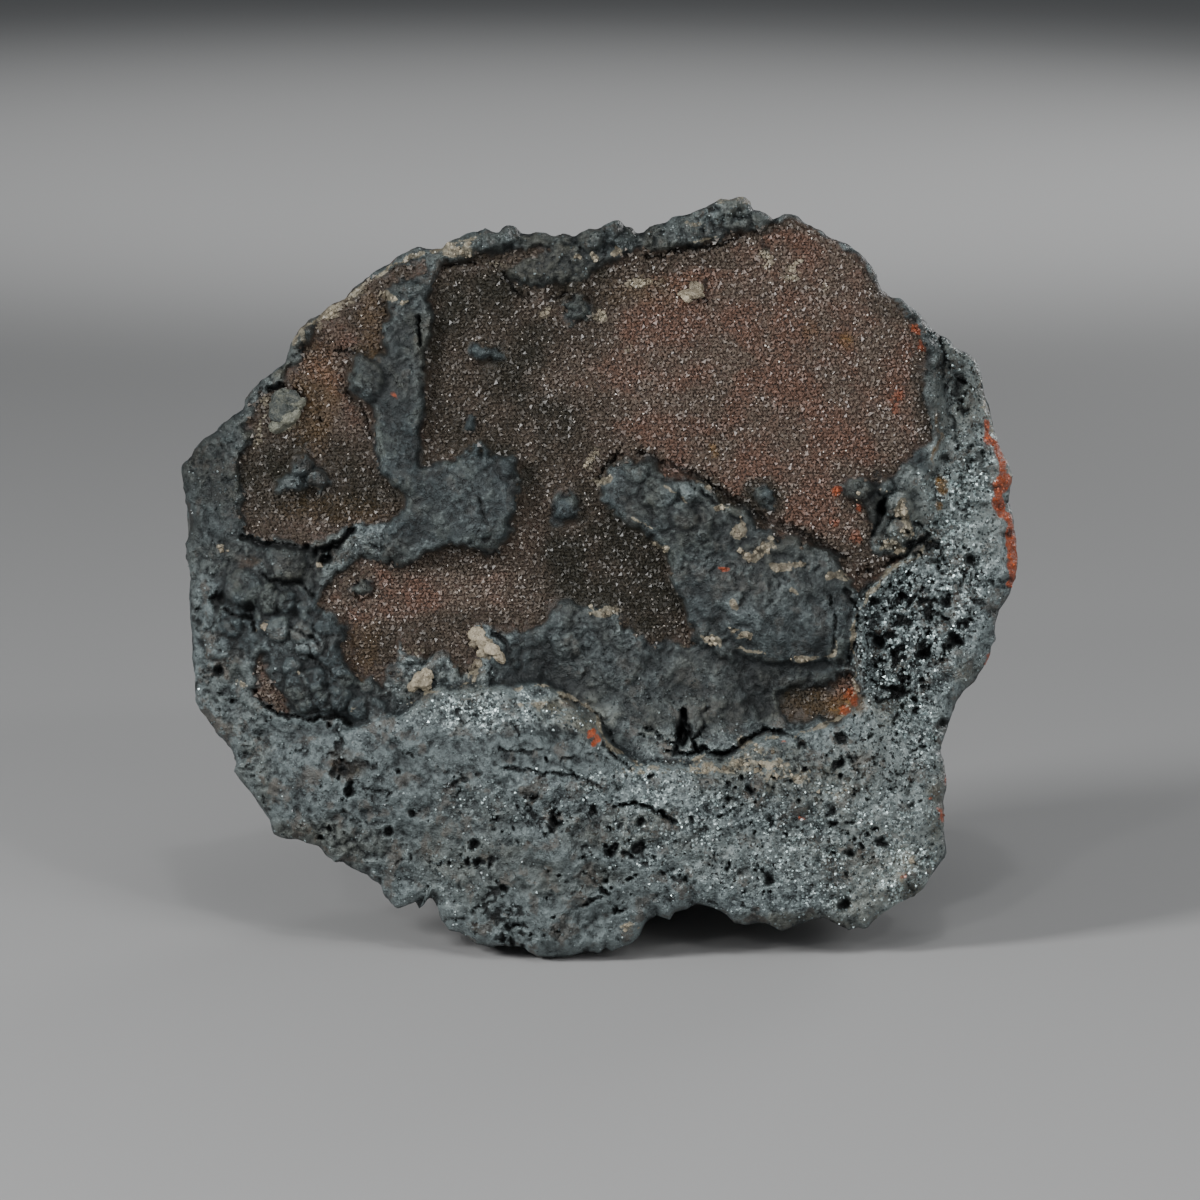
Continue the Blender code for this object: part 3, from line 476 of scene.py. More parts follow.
# Where the druse is darkest
DUSK = [
    (486, 330, 66, 74, 0.85), (480, 410, 56, 90, 0.9), (560, 330, 44, 40, 0.5), (540, 450, 50, 60, 0.8),
    (600, 560, 56, 90, 0.95), (640, 590, 60, 70, 0.95), (560, 590, 40, 40, 0.5), (680, 600, 30, 60, 0.7),
    (320, 478, 100, 44, 0.8), (290, 445, 60, 40, 0.5), (262, 470, 30, 60, 0.6), (540, 285, 100, 24, 0.8),
    (640, 262, 80, 12, 0.5), (345, 655, 18, 30, 0.6), (372, 300, 30, 40, 0.6), (395, 330, 20, 60, 0.6),
    (275, 405, 44, 30, 0.6), (715, 420, 30, 30, 0.15), (400, 650, 50, 24, 0.7), (450, 560, 70, 10, 0.5),
    (500, 625, 60, 14, 0.6), (590, 440, 30, 50, 0.4), (350, 525, 60, 12, 0.4), (470, 655, 20, 30, 0.4),
    (870, 560, 30, 14, 0.5), (890, 300, 20, 16, 0.4), (700, 500, 40, 12, 0.3), (247, 563, 18, 12, 0.75),
    (344, 768, 20, 16, 0.8), (800, 705, 34, 20, 0.8), (335, 370, 50, 60, 0.2),
]

# Where the rock is painted darker: partly its own darker tone, partly painted shade, as on the
# shaded wall at the right of the plateau, under the ledge at the left and in a pit at the right
SHADE = [
    (690, 700, 80, 34, 0.7), (800, 700, 50, 22, 0.6), (560, 650, 60, 40, 0.5), (925, 655, 50, 45, 0.4),
    (958, 383, 18, 26, 0.8), (540, 268, 40, 14, 0.7), (700, 244, 50, 8, 0.8), (240, 520, 60, 40, 0.5),
    (215, 600, 24, 30, 0.3), (480, 850, 40, 26, 0.3), (300, 552, 60, 10, 0.8),
    (880, 510, 10, 24, 0.8), (620, 690, 60, 30, 0.4),
    (215, 480, 56, 90, 1.0), (545, 250, 140, 26, 0.6), (300, 350, 30, 50, 0.5), (270, 600, 60, 50, 0.25),
    (405, 325, 44, 80, 0.85), (330, 690, 90, 50, 0.15), (660, 240, 100, 18, 0.85),
    (760, 605, 110, 70, 0.7), (600, 645, 80, 50, 0.7), (470, 500, 70, 70, 0.45), (240, 575, 60, 40, 0.4),
    (580, 700, 120, 40, 0.3), (940, 400, 20, 90, 0.5), (895, 510, 30, 40, 0.3), (380, 375, 40, 30, 0.3),
    (250, 560, 60, 30, 0.5), (340, 640, 24, 30, 0.2),
    (934, 400, 10, 80, 0.7), (560, 815, 70, 26, 0.3), (300, 690, 70, 40, 0.15), (640, 480, 40, 20, 0.4),
    (302, 474, 34, 24, 1.0), (470, 500, 60, 50, 0.5),
    (934, 385, 12, 60, 1.3),
]

# Where the rock is dark olive rather than blue-grey
OLIVE_ROCK = [
    (560, 250, 140, 34, 0.9), (455, 255, 50, 26, 0.9), (225, 450, 56, 60, 0.8), (300, 340, 40, 60, 0.9),
    (405, 325, 44, 66, 0.8), (300, 560, 100, 22, 0.7), (680, 700, 110, 44, 0.6), (690, 505, 60, 34, 0.5),
    (575, 714, 34, 20, 1.2), (590, 640, 50, 40, 0.4), (780, 570, 70, 30, 0.5), (890, 525, 34, 44, 0.7),
    (780, 775, 90, 30, 0.7), (440, 690, 60, 24, 0.5), (240, 700, 40, 40, 0.4), (330, 850, 70, 24, 0.5),
    (870, 860, 60, 40, 0.4), (470, 850, 50, 50, 0.4), (700, 215, 80, 24, 0.6), (960, 380, 30, 50, 0.6),
    (830, 500, 40, 30, 0.5), (185, 520, 16, 80, 0.5), (944, 820, 14, 70, 0.8), (900, 905, 60, 16, 0.8),
    (800, 925, 60, 12, 0.7), (975, 690, 24, 26, 0.7), (640, 830, 70, 20, 0.6), (300, 845, 60, 20, 0.7),
    (250, 790, 20, 40, 0.5), (560, 880, 60, 14, 0.4), (820, 830, 40, 30, 0.6), (890, 700, 20, 30, 0.5),
]

# Planes of the broken back: slope across, slope up, and how many thicknesses behind the face's middle
BACK_PLANES = [
    (0.00, 0.02, 1.00), (0.05, 0.62, 1.11), (-0.58, 0.10, 1.28), (0.60, -0.04, 1.32),
    (-0.30, -0.30, 1.43), (0.46, 0.44, 1.28),
]

# Cream and grey crystals, each a few lumps: column and row of the middle, half length, half width
# and half height in px, turn in degrees, how pale, and seed
CRYSTALS = {
    "pale_crystal_centre": [
        (477, 634, 9, 7, 6, 20, 0.8, 1), (484, 643, 9, 7, 7, -50, 0.9, 2), (492, 650, 9, 6, 6, -40, 1.0, 3),
        (499, 657, 7, 5, 4, -60, 0.6, 4), (482, 653, 6, 5, 4, 10, 0.7, 5), (473, 644, 5, 5, 4, 80, 0.5, 6),
        (478, 664, 4, 5, 3, 80, 0.4, 7),
    ],
    "pale_crystal_rim": [
        (421, 680, 11, 8, 7, 25, 0.7, 11), (427, 675, 7, 6, 6, -20, 1.0, 12),
        (414, 686, 7, 5, 5, 30, 0.6, 13), (424, 684, 7, 5, 6, -35, 0.8, 14),
    ],
    "pale_crystal_plateau": [
        (692, 294, 12, 7, 7, 0, 0.45, 21), (696, 288, 7, 7, 6, 40, 0.3, 22),
        (687, 297, 6, 5, 6, -20, 0.7, 23),
    ],
    # In the grey crystal, the pale lumps along its lower right are painted highlight, for its lit facet
    "grey_crystal": [
        (283, 407, 17, 15, 10, 35, 0.0, 31), (290, 414, 15, 9, 9, 48, 0.75, 38),
        (279, 425, 10, 7, 7, 15, 0.6, 33), (296, 404, 9, 7, 8, 40, 0.6, 39),
    ],
}

# Each crust's share of crystals that carry a glint, painted near white, and its seed
GLINTS = {"main": (0.085, 5), "upper_left": (0.05, 6), "lower_right": (0.12, 7), "left_pocket": (0.10, 8)}

# Patches of metallic grains: name, two corners and seed
GRAIN_PATCHES = [
    ("grains_right", (850, 300), (RIGHT, 740), 11),
    ("grains_lower", (400, 670), (960, 965), 12),
    ("grains_left", (LEFT, 400), (400, 900), 13),
    ("grains_top", (400, 190), (850, 300), 14),
]

# The numbers that the rock's finish reads at each point. Of these, dark is painted shade in hollows,
# proud is painted highlight and shade from the relief, and shade is painted shade mixed with the
# rock's own darker tone
MARKS = (
    "smooth", "matte", "palest", "cream", "rust", "ochre", "brown", "glitter", "dusk", "shade", "dark",
    "proud", "olive", "pitted",
)

# Name, place, size in metres and power in watts of the lamps round the specimen
LAMPS = [
    ("key", (-0.72, -0.50, 0.50), 0.22, 10.5),
    ("overhead", (0.10, -0.50, 0.85), 0.40, 2.0),
    ("fill", (0.60, -0.80, 0.35), 0.50, 4.2),
    ("low", (-0.10, -0.95, 0.04), 0.30, 1.6),
    ("behind", (0.60, 1.00, 0.30), 0.40, 3.6),
    ("glint_left", (-0.25, -0.80, 0.42), 0.05, 1.1),
    ("glint_right", (0.30, -0.75, 0.55), 0.05, 1.1),
    ("glint_top", (0.02, -0.60, 0.80), 0.05, 1.1),
]
LAMP_AIM = Vector((0, 0, 0.055))


def across(column):
    """x on the face of a column of the picture."""
    return (column - MIDDLE[0]) * PX


def up(row):
    """y on the face of a row of the picture."""
    return (FOOT[1] + 1 - row) * PX


def edge_radius(angle):
    """How far the outline lies from the middle, in px, at each angle."""
    points = np.array(OUTLINE, float) - MIDDLE
    angles = np.arctan2(-points[:, 1], points[:, 0])
    order = np.argsort(angles)
    return np.interp(angle, angles[order], np.hypot(*points[order].T), period=2 * math.pi)


def from_edge(points):
    """How far inside the outline each point lies, in px."""
    offset = points - MIDDLE
    return edge_radius(np.arctan2(-offset[:, 1], offset[:, 0])) - np.hypot(*offset.T)


def worn_radius(angle):
    """The outline's distance from the middle where it is worn back to its notches, behind the face."""
    around = np.radians(np.arange(360))
    near = edge_radius(around[:, None] + np.radians(np.arange(-4, 5))).min(axis=1)
    soft = near[(np.arange(360)[:, None] + np.arange(-6, 7)) % 360].mean(axis=1)
    return np.interp(angle, around, np.minimum(soft, near), period=2 * math.pi)


def inside(points, polygon):
    """Each point's distance in px from a polygon's edge, positive inside it."""
    corners = np.array(polygon, float)
    nearest = np.full(len(points), np.inf)
    within = np.zeros(len(points), bool)
    for start, end in zip(corners, np.roll(corners, -1, axis=0)):
        side = end - start
        along = np.clip((points - start) @ side / (side @ side), 0, 1)
        nearest = np.minimum(nearest, np.hypot(*(points - start - along[:, None] * side).T))
        crosses = (start[1] > points[:, 1]) != (end[1] > points[:, 1])
        reach = (points[:, 1] - start[1]) / (side[1] or 1) * side[0] + start[0]
        within ^= crosses & (points[:, 0] < reach)
    return np.where(within, nearest, -nearest)


def beside(points, line):
    """Each point's distance in px from a line of several stretches."""
    nearest = np.full(len(points), np.inf)
    for start, end in zip(np.array(line[:-1], float), np.array(line[1:], float)):
        side = end - start
        along = np.clip((points - start) @ side / (side @ side), 0, 1)
        nearest = np.minimum(nearest, np.hypot(*(points - start - along[:, None] * side).T))
    return nearest


def step(distance, width):
    """0 to 1 across a border, smooth, width px wide."""
    t = np.clip(distance / width + 0.5, 0, 1)
    return t * t * (3 - 2 * t)


def scatter(cells, seed):
    """A random number from 0 to 1 for each whole-numbered cell, the same each time."""
    mixed = np.sin(cells[..., 0] * 127.1 + cells[..., 1] * 311.7 + seed * 74.7) * 43758.5453
    return mixed - np.floor(mixed)


def rough(points, grain, seed, octaves=1):
    """Smooth noise from -1 to 1 with lumps about a grain across, and finer lumps on those."""
    total, weight = np.zeros(len(points)), 0
    for octave in range(octaves):
        scaled = points * 2**octave / grain + 31.7 * (seed + octave)
        low = np.floor(scaled)
        share = scaled - low
        share = share * share * (3 - 2 * share)
        corner = [scatter(low + offset, seed + octave) for offset in ((0, 0), (1, 0), (0, 1), (1, 1))]
        top = corner[0] + (corner[1] - corner[0]) * share[:, 0]
        bottom = corner[2] + (corner[3] - corner[2]) * share[:, 0]
        total += (top + (bottom - top) * share[:, 1]) / 2**octave
        weight += 1 / 2**octave
    return 2 * total / weight - 1


def sway(points, grain, seeds, octaves=1):
    """Noise along both sides of the picture, with a seed for each, to move points by."""
    return np.column_stack([rough(points, grain, seed, octaves) for seed in seeds])


def ragged(points):
    """Points moved about by noise, so that borders drawn through them look broken."""
    wide, coarse, fine = sway(points, 34, (5, 6)), sway(points, 14, (1, 2)), sway(points, 5, (3, 4))
    return points + 4 * wide + 5 * coarse + 2.6 * fine


def lumps(points, size, seed):
    """Round lumps about a size across, 1 on top and 0 in the seams, and a random number for each."""
    whole = np.floor(points / size)
    nearest = np.full(len(points), 9.0)
    second = nearest.copy()
    owner = np.zeros(len(points))
    for offset in np.ndindex(3, 3):
        cell = whole + np.array(offset) - 1
        spot = (cell + np.stack([scatter(cell, seed), scatter(cell, seed + 1)], 1)) * size
        away = np.hypot(*(points - spot).T) / size
        closer = away < nearest
        second = np.where(closer, nearest, np.minimum(second, away))
        owner = np.where(closer, scatter(cell, seed + 2), owner)
        nearest = np.where(closer, away, nearest)
    return np.sqrt(np.clip(second - nearest, 0, 1)), owner


def blurred(field, cells):
    """A grid of numbers with each one the mean of those around it."""
    for _ in range(2):
        for axis in (0, 1):
            wider = np.pad(field, [(cells + 1, cells) if a == axis else (0, 0) for a in (0, 1)], mode="edge")
            sums = np.cumsum(wider, axis=axis)
            last = np.take(sums, range(2 * cells + 1, sums.shape[axis]), axis=axis)
            first = np.take(sums, range(sums.shape[axis] - 2 * cells - 1), axis=axis)
            field = (last - first) / (2 * cells + 1)
    return field


def levels(points):
    """Height of the face without its details, smooth through every spot of LEVELS."""
    known = np.array(LEVELS, float)
    where, height = known[:, :2], known[:, 2]
    apart = np.hypot(*(where[:, None] - where[None]).transpose(2, 0, 1))
    ones = np.ones((len(known), 1))
    system = np.block([[apart, ones], [ones.T, np.zeros((1, 1))]])
    weights = np.linalg.solve(system, np.append(height, 0))
    reach = np.zeros(len(points))
    for spot, weight in zip(where, weights):
        reach += weight * np.hypot(*(points - spot).T)
    return (reach + weights[-1]) * MM


def floor(points):
    """Height of the face with its rounded edge and the drops of its hollow and terrace."""
    short = np.clip(1 - from_edge(points) * PX / EDGE_WIDTH, 0, 1)
    hollow = inside(points, HOLLOW) + 5 * rough(points, 26, 45, 2)
    height = levels(points) - EDGE_FALL * (1 - np.sqrt(1 - short**2))
    at_left = step(points[:, 0] - 340, 140)
    drop = at_left * step(hollow, 12) + 0.5 * (1 - at_left) * step(hollow, 60)
    height -= HOLLOW_DROP * drop * np.exp(-np.clip(hollow, 0, None) / 60)
    return height - TERRACE_DROP * step(inside(points, TERRACE), 14)


def spots(points, ellipses):
    """How strongly a set of soft-edged spots reaches each point, from 0 to 1."""
    strongest = np.zeros(len(points))
    for column, row, half_width, half_height, strength in ellipses:
        away = np.hypot((points[:, 0] - column) / half_width, (points[:, 1] - row) / half_height)
        strongest = np.maximum(strongest, strength * step(1.1 - away, 0.9))
    return strongest


class Face:
    """The face worked out on a fine grid: its height, and how far each finish reaches."""

    def __init__(self):
        self.low = np.array([LEFT - MARGIN, TOP - MARGIN], float)
        high = np.array([RIGHT + MARGIN, FOOT[1] + MARGIN], float)
        self.shape = np.ceil((high - self.low) / GRID).astype(int) + 1
        columns, rows = np.meshgrid(np.arange(self.shape[0]), np.arange(self.shape[1]))
        points = self.low + np.column_stack([columns.ravel(), rows.ravel()]) * GRID
        self.fields = {}
        self.borders(points)
        self.colours(points)
        self.relief(points)
        down_slope, across_slope = np.gradient(self.fields["height"].reshape(self.shape[1], -1), GRID * PX)
        self.fields["slope_x"] = across_slope.ravel()
        self.fields["slope_y"] = -down_slope.ravel()

    def at(self, name, points):
        """A field's value between the grid's points."""
        field = self.fields[name].reshape(self.shape[1], -1)
        place = np.clip((points - self.low) / GRID, 0, self.shape - 1.001)
        low = place.astype(int)
        share = place - low
        column, row = low.T
        top = field[row, column] * (1 - share[:, 0]) + field[row, column + 1] * share[:, 0]
        bottom = field[row + 1, column] * (1 - share[:, 0]) + field[row + 1, column + 1] * share[:, 0]
        return top * (1 - share[:, 1]) + bottom * share[:, 1]

    def borders(self, points):
        """Signed distances in px to the edges of the druse and of the smooth crust."""
        moved = ragged(points)
        for name, polygon in DRUSE.items():
            self.fields[name] = inside(moved, polygon)
        for column, row, radius, _ in DISCS:
            ring = np.hypot(*(moved - (column, row)).T) - radius - 3
            for name in DRUSE:
                self.fields[name] = np.minimum(self.fields[name], ring)
        for patch in OUTCROPS:
            clear = -2 - inside(moved, patch)
            for name in DRUSE:
                self.fields[name] = np.minimum(self.fields[name], clear)
        self.fields["druse"] = np.max([self.fields[name] for name in DRUSE], axis=0)
        self.fields["island"] = np.max([inside(moved, island) for island in ISLANDS], axis=0)
        smooth = np.max([inside(moved, patch) for patch in SMOOTH], axis=0)
        broken = spots(moved, GRAINY) * np.clip(1 + 1.4 * rough(points, 16, 46, 3), 0, 1.2)
        smooth = step(np.maximum(smooth, self.fields["island"]), 8) * (1 - broken.clip(0, 1))
        for column, row, radius, _ in DISCS:
            smooth = np.maximum(smooth, step(radius + 3 - np.hypot(*(moved - (column, row)).T), 3))
        self.fields["smooth"] = smooth

    def colours(self, points):
        """How far each spot of colour reaches, 0 to 1."""
        moved = ragged(points)
        fields = self.fields
        patchy = 0.5 + 0.5 * rough(points, 7, 11, 2)
        fields["cream"] = spots(moved, CREAM) * (0.45 + 0.9 * patchy)
        fields["cream_spots"] = fields["cream"]
        fields["rust"] = spots(moved, RUST) * (0.55 + 0.8 * patchy)
        fields["ochre"] = spots(moved, OCHRE) * (0.5 + patchy)
        wide = 4 + 3.5 * rough(points, 18, 14) + 3 * step(points[:, 1] - 455, 60)
        strip = step(wide - beside(moved, RUST_RIM), 4)
        fields["rust"] = np.maximum(fields["rust"], strip * (0.35 + 0.8 * patchy))
        pink = 0.55 * step(6 - beside(moved, PINK_RIM), 6)
        fields["cream"] = np.maximum(fields["cream"], pink * (0.4 + patchy))
        for line, half_width in RIM_LINES:
            thin = half_width + 1.8 * rough(points, 9, 12) - 0.4 + 0.8 * rough(points, 40, 15)
            edge = step(thin - beside(points + 0.5 * (moved - points), line), 1.8)
            fields["cream"] = np.maximum(fields["cream"], 0.7 * edge)
        pockets = spots(moved, [(*pocket, 1) for pocket in BROWN_POCKETS])
        fields["brown"] = np.maximum(step(fields["druse"] + 1, 5), pockets)
        fields["glitter"] = spots(points, GLITTER) * np.clip(0.75 + 0.9 * rough(points, 22, 57, 3), 0, 1.2)
        fields["matte"] = spots(moved, MATTE)
        fields["palest"] = spots(moved, PALEST) * (0.7 + 0.6 * patchy)
        dusk = spots(moved, DUSK) * (0.95 + 0.6 * rough(points, 24, 13, 3))
        border = step(9 - fields["druse"], 16) * (0.45 + 0.7 * rough(points, 36, 16, 2))
        fields["dusk"] = np.clip(np.maximum(dusk, border), 0, 1)
        fields["shade"] = spots(points, SHADE)
        fields["olive"] = spots(moved, OLIVE_ROCK) * (0.7 + 0.8 * rough(points, 20, 55, 2))

    def relief(self, points):
        """Height of the rock's face with all on it or sunk in it, and the painted shade and highlight of it.
        """
        fields = self.fields
        height = floor(points)
        rock = step(3 * rough(points, 9, 52, 2) - fields["druse"] - 3, 9)
        island = step(fields["island"], 8)
        height += ROCK_OVER_CRUST * rock + ISLAND_RISE * island
        height -= BED_DEPTH * (1 - rock)
        warped = points + 3 * sway(points, 11, (17, 18), 2)
        height += MM * spots(warped, MOUNDS)
        heads = np.zeros(len(points))
        next_heads = heads.copy()
        for column, row, radius, rise in NODULES:
            away = np.hypot(warped[:, 0] - column, warped[:, 1] - row) / (1.05 * radius)
            head = rise * np.sqrt(np.clip(1 - away**3, 0, 1))
            next_heads = np.maximum(next_heads, np.minimum(heads, head))
            heads = np.maximum(heads, head)
        crease = step(0.13 - heads + next_heads, 0.2) * step(next_heads - 0.1, 0.2)
        height += NODULE_RISE * heads - CREASE_DEPTH * crease
        for column, row, radius, rise in DISCS:
            away = np.hypot(warped[:, 0] - column, warped[:, 1] - row) / radius
            height += rise * MM * (step(1 - away, 0.3) - 0.9 * step(1.35 - away, 0.2))
        # dark is painted shade: in the creases between the nodules, and below in the pits, cracks, seams,
        # folds, knob seams, splits and holes, and in the ring round the druse
        dark = 0.75 * crease
        moved = points + 3 * sway(points, 7, (21, 22), 2)
        torn = np.clip(rough(points, 8, 44, 2) + 0.3, 0, 1)
        for column, row, radius, depth in PITS:
            away = np.hypot(moved[:, 0] - column, moved[:, 1] - row) / (1.15 * radius) + 0.8 * torn
            bowl = np.clip(1 - away**2, 0, 1) * (away < 1)
            height -= depth * MM * bowl
            dark = np.maximum(dark, step(bowl - 0.4, 0.6))
        for line, half_width, depth in CRACKS:
            away = beside(moved, line) / (half_width * np.clip(1.1 + 0.9 * rough(points, 14, 19, 2), 0.2, 2))
            height -= depth * MM * np.clip(1 - away**2, 0, 1)
            dark = np.maximum(dark, min(0.9, 0.7 * depth) * step(0.8 - away, 0.6))
        # Smooth crust in lobes, with seams and folds, sunk and painted dark as shade
        smooth = fields["smooth"] * rock
        drift = sway(points, 16, (23, 43), 2)
        large, _ = lumps(warped + 11 * drift, 21, 24)
        small, _ = lumps(points + 2 * rough(points, 6, 25)[:, None], 7.5, 26)
        seam = step(0.30 - large, 0.2) * step(rough(points, 30, 34) - 0.15, 0.4)
        folds = step(0.055 - np.abs(rough(warped, 24, 35, 2)), 0.05)
        folds *= step(rough(points, 44, 36) + 0.05, 0.4)
        creases = step(0.07 - np.abs(rough(warped, 13, 50, 2)), 0.06)
        creases *= step(rough(points, 30, 51) - 0.15, 0.3)
        folds = np.maximum(folds, 0.8 * creases)
        lobed = spots(points, [(296, 650, 96, 84, 0.75)])
        uneven = 0.8 * rough(points, 24, 27, 4) * (1 - lobed)
        crust = 0.26 * large + 0.22 * small * (1 - lobed) + uneven - 0.35 * seam - 0.3 * folds
        crust += 0.16 * rough(points, 4, 47)
        height += smooth * crust * MM
        dark = np.maximum(dark, smooth * np.maximum(0.55 * seam, 0.6 * folds))
        # Broken grains on the rest, finer and flatter where it is dull
        broken = (1 - fields["smooth"]) * rock
        matte = fields["matte"]
        streaks = rough(points * (0.6, 1), 6, 37, 2)
        grainy = 0.42 * rough(points, 8, 28, 3) + 0.35 * rough(points, 34, 29, 3)
        dull = 0.9 * rough(points, 26, 38, 4) + 0.12 * streaks + 0.16 * rough(points, 4, 39)
        coarse = 0.9 + 0.7 * fields["glitter"]
        uneven = coarse * grainy * (1 - matte) + dull * matte + 0.5 * rough(points, 60, 48, 2)
        height += broken * (uneven + 0.5 * rough(points, 13, 54, 2)) * MM
        edge_distance = from_edge(points)
        crumbly = step(24 - edge_distance, 30) * (1 - fields["smooth"] * 0.4) * rock
        height += crumbly * (0.7 * rough(points, 11, 56, 3) - 0.1) * MM
        knobbly = spots(moved, KNOBBLY) * rock
        wide_knobs, _ = lumps(warped + 8 * drift, 14, 58)
        small_knobs, _ = lumps(warped + 5 * drift, 6.5, 61)
        height += knobbly * (0.75 * wide_knobs + 0.35 * small_knobs - 0.5) * MM
        dark = np.maximum(dark, 0.55 * knobbly * step(0.26 - wide_knobs, 0.2))
        splits = step(0.045 - np.abs(rough(warped * (0.8, 1.1), 20, 40, 3)), 0.045)
        splits = splits * step(rough(points, 18, 42, 2) - 0.22, 0.25) * broken
        height -= SPLIT_DEPTH * splits
        # Small ragged holes, thickest where the rock is most broken, painted black as shade
        pitted = spots(warped, PITTED)
        holes = rough(moved * (1, 1.2), 7, 30, 2) + 0.2 * rough(points, 22, 31)
        hole = broken * step(holes - 0.88 + 0.50 * pitted + 0.06 * matte, 0.12)
        height -= HOLE_DEPTH * hole
        fields["pitted"] = pitted
        dark = np.maximum(dark, np.maximum(hole, 0.75 * splits))
        # A ring of painted shade in the gap round the druse's edges
        ring = step(4 - np.abs(fields["druse"] + 4), 5) * (0.1 + 0.9 * rough(points, 26, 33, 2))
        dark = np.maximum(dark, ring)
        grid = height.reshape(self.shape[1], -1)
        # proud: painted highlight where a point stands above those round it, painted shade where it lies
        # below
        proud = 0.6 * (grid - blurred(grid, 2)) / (0.12 * MM) + 0.4 * (grid - blurred(grid, 6)) / (0.35 * MM)
        fields["proud"] = np.clip(0.5 + 0.38 * proud.ravel(), 0, 1)
        # Painted shade: darker in hollows, by how far each point lies below the mean of those round it, and
        # along the outline, where the rounded edge catches the light; less where the rock is palest, and the
        # smooth crust's own darker tone in patches is added too
        sunk = (blurred(grid, 5) - grid) / (0.9 * MM) + (blurred(grid, 12) - grid) / (1.6 * MM)
        darker = 0.8 * np.clip(sunk.ravel(), -0.3, 1) + 0.15 * step(8 - edge_distance, 14)
        darker -= 0.6 * fields["palest"]
        darker += fields["smooth"] * (0.1 + 0.5 * rough(points, 40, 49, 3))
        fields["shade"] = np.clip(fields["shade"] + darker, 0, 1)
        fields["height"] = height
        fields["dark"] = np.clip(dark, 0, 1)


def stand(points):
    """Points on the flat face's frame, moved to where the specimen stands."""
    tilt = np.array(Matrix.Rotation(math.pi / 2 - LEAN, 3, "X"))
    foot = floor(np.array([FOOT], float))[0]
    return points @ tilt.T + (0, STAND_BACK, -foot * math.sin(LEAN))


def grain_noise(place, grain, seed):
    """Smooth noise in space from about -1 to 1, with lumps about a grain across."""
    shift = Vector((17.3 * seed, 5.1 * seed, 9.7 * seed))
    return np.array([noise.noise(Vector(p) / grain + shift) for p in place])


def jittered(low, high, spacing, random):
    """Points about a spacing apart over a rectangle, off their grid."""
    columns, rows = np.meshgrid(np.arange(low[0], high[0], spacing), np.arange(low[1], high[1], spacing))
    points = np.column_stack([columns.ravel(), rows.ravel()])
    points[:, 0] += spacing / 2 * (np.round((points[:, 1] - low[1]) / spacing) % 2)
    return points + random.uniform(-0.32, 0.32, points.shape) * spacing


def triangles(points, border):
    """Triangles between points, within a border that is the first of them."""
    vectors = [Vector(point) for point in points]
    made = delaunay_2d_cdt(vectors, [], [list(range(border))], 1, 1e-7)
    assert len(made[0]) == len(points)
    return np.array(made[2])


def rim_loop():
    """Angle and radius in px of points along the outline, broken finely."""
    around = np.linspace(-math.pi, math.pi, 8000, endpoint=False)
    radius = edge_radius(around)
    points = np.column_stack([np.cos(around), np.sin(around)]) * radius[:, None]
    radius = radius + 2.4 * rough(points, 7, 41, 3) - 1.0
    points = np.column_stack([np.cos(around), np.sin(around)]) * radius[:, None]
    travelled = np.append(0, np.cumsum(np.hypot(*np.diff(points, axis=0).T)))
    wanted = np.arange(0, travelled[-1], RIM_STEP)
    angles = np.interp(wanted, travelled, around)
    return angles, np.interp(angles, around, radius)


def behind_face(turn, inward, angles, radii, face):
    """Where points of the sides and the back lie, from their angle and share of the way to the rim."""
    flat = np.clip(inward / BACK_SHARE, 0, 1)
    depth = np.clip((1 - inward) / (1 - BACK_SHARE), 0, 1)
    reach = np.interp(turn, angles, radii, period=2 * math.pi)
    reach += (edge_radius(turn) - 1 - reach) * np.clip(depth / 0.07, 0, 1)
    direction = np.column_stack([np.cos(turn), np.sin(turn)])
    at_foot = step(-np.sin(turn) - 0.62, 0.36)
    taper = TAPER * (1 + 0.23 * np.sin(3 * turn + 1)) * (1 - at_foot)
    column_wise = np.column_stack([direction * reach[:, None] * PX, -depth * THICKNESS])
    worn = 0.45 + 0.7 * grain_noise(column_wise, 19 * MM, 1) + 0.3 * grain_noise(column_wise, 9 * MM, 2)
    behind = np.clip((depth - 0.13) / 0.25, 0, 1)
    worn_reach = reach + (worn_radius(turn) - reach) * behind
    bite = BITE / PX * np.clip(worn, 0, 1) * behind * (1 - 0.9 * at_foot)
    chipped = 5 * grain_noise(column_wise, 5 * MM, 6) + 2.5 * grain_noise(column_wise, 2.2 * MM, 7)
    radius = flat * (worn_reach * (1 - taper * depth**1.5) - bite)
    radius += chipped * np.clip(depth * 12, 0, 1) * (flat > 0.999)
    points = MIDDLE + direction * (1, -1) * radius[:, None]
    rim = MIDDLE + direction * (1, -1) * reach[:, None]
    height = face.at("height", rim) * (1 - depth) + back(points) * depth
    place = np.column_stack([across(points[:, 0]), up(points[:, 1]), height])
    uneven = grain_noise(place, 16 * MM, 3) + 0.23 * grain_noise(place, 7 * MM, 4)
    place[:, 2] += BACK_UNEVEN * uneven * np.clip((depth - 0.6) / 0.4, 0, 1)
    broken = 0.9 * grain_noise(place, 4 * MM, 8) + 0.6 * grain_noise(place, 1.9 * MM, 9)
    place[:, 2] += 0.5 * MM * broken * np.clip(depth * 6, 0, 1)
    return place


def back(points):
    """Height of the back, where its planes meet in blunt edges."""
    x = across(points[:, 0])
    y = (MIDDLE[1] - points[:, 1]) * PX
    planes = np.array([a * x + b * y - depth * THICKNESS for a, b, depth in BACK_PLANES])
    return BACK_EDGE * np.log(np.exp(planes / BACK_EDGE).sum(axis=0))


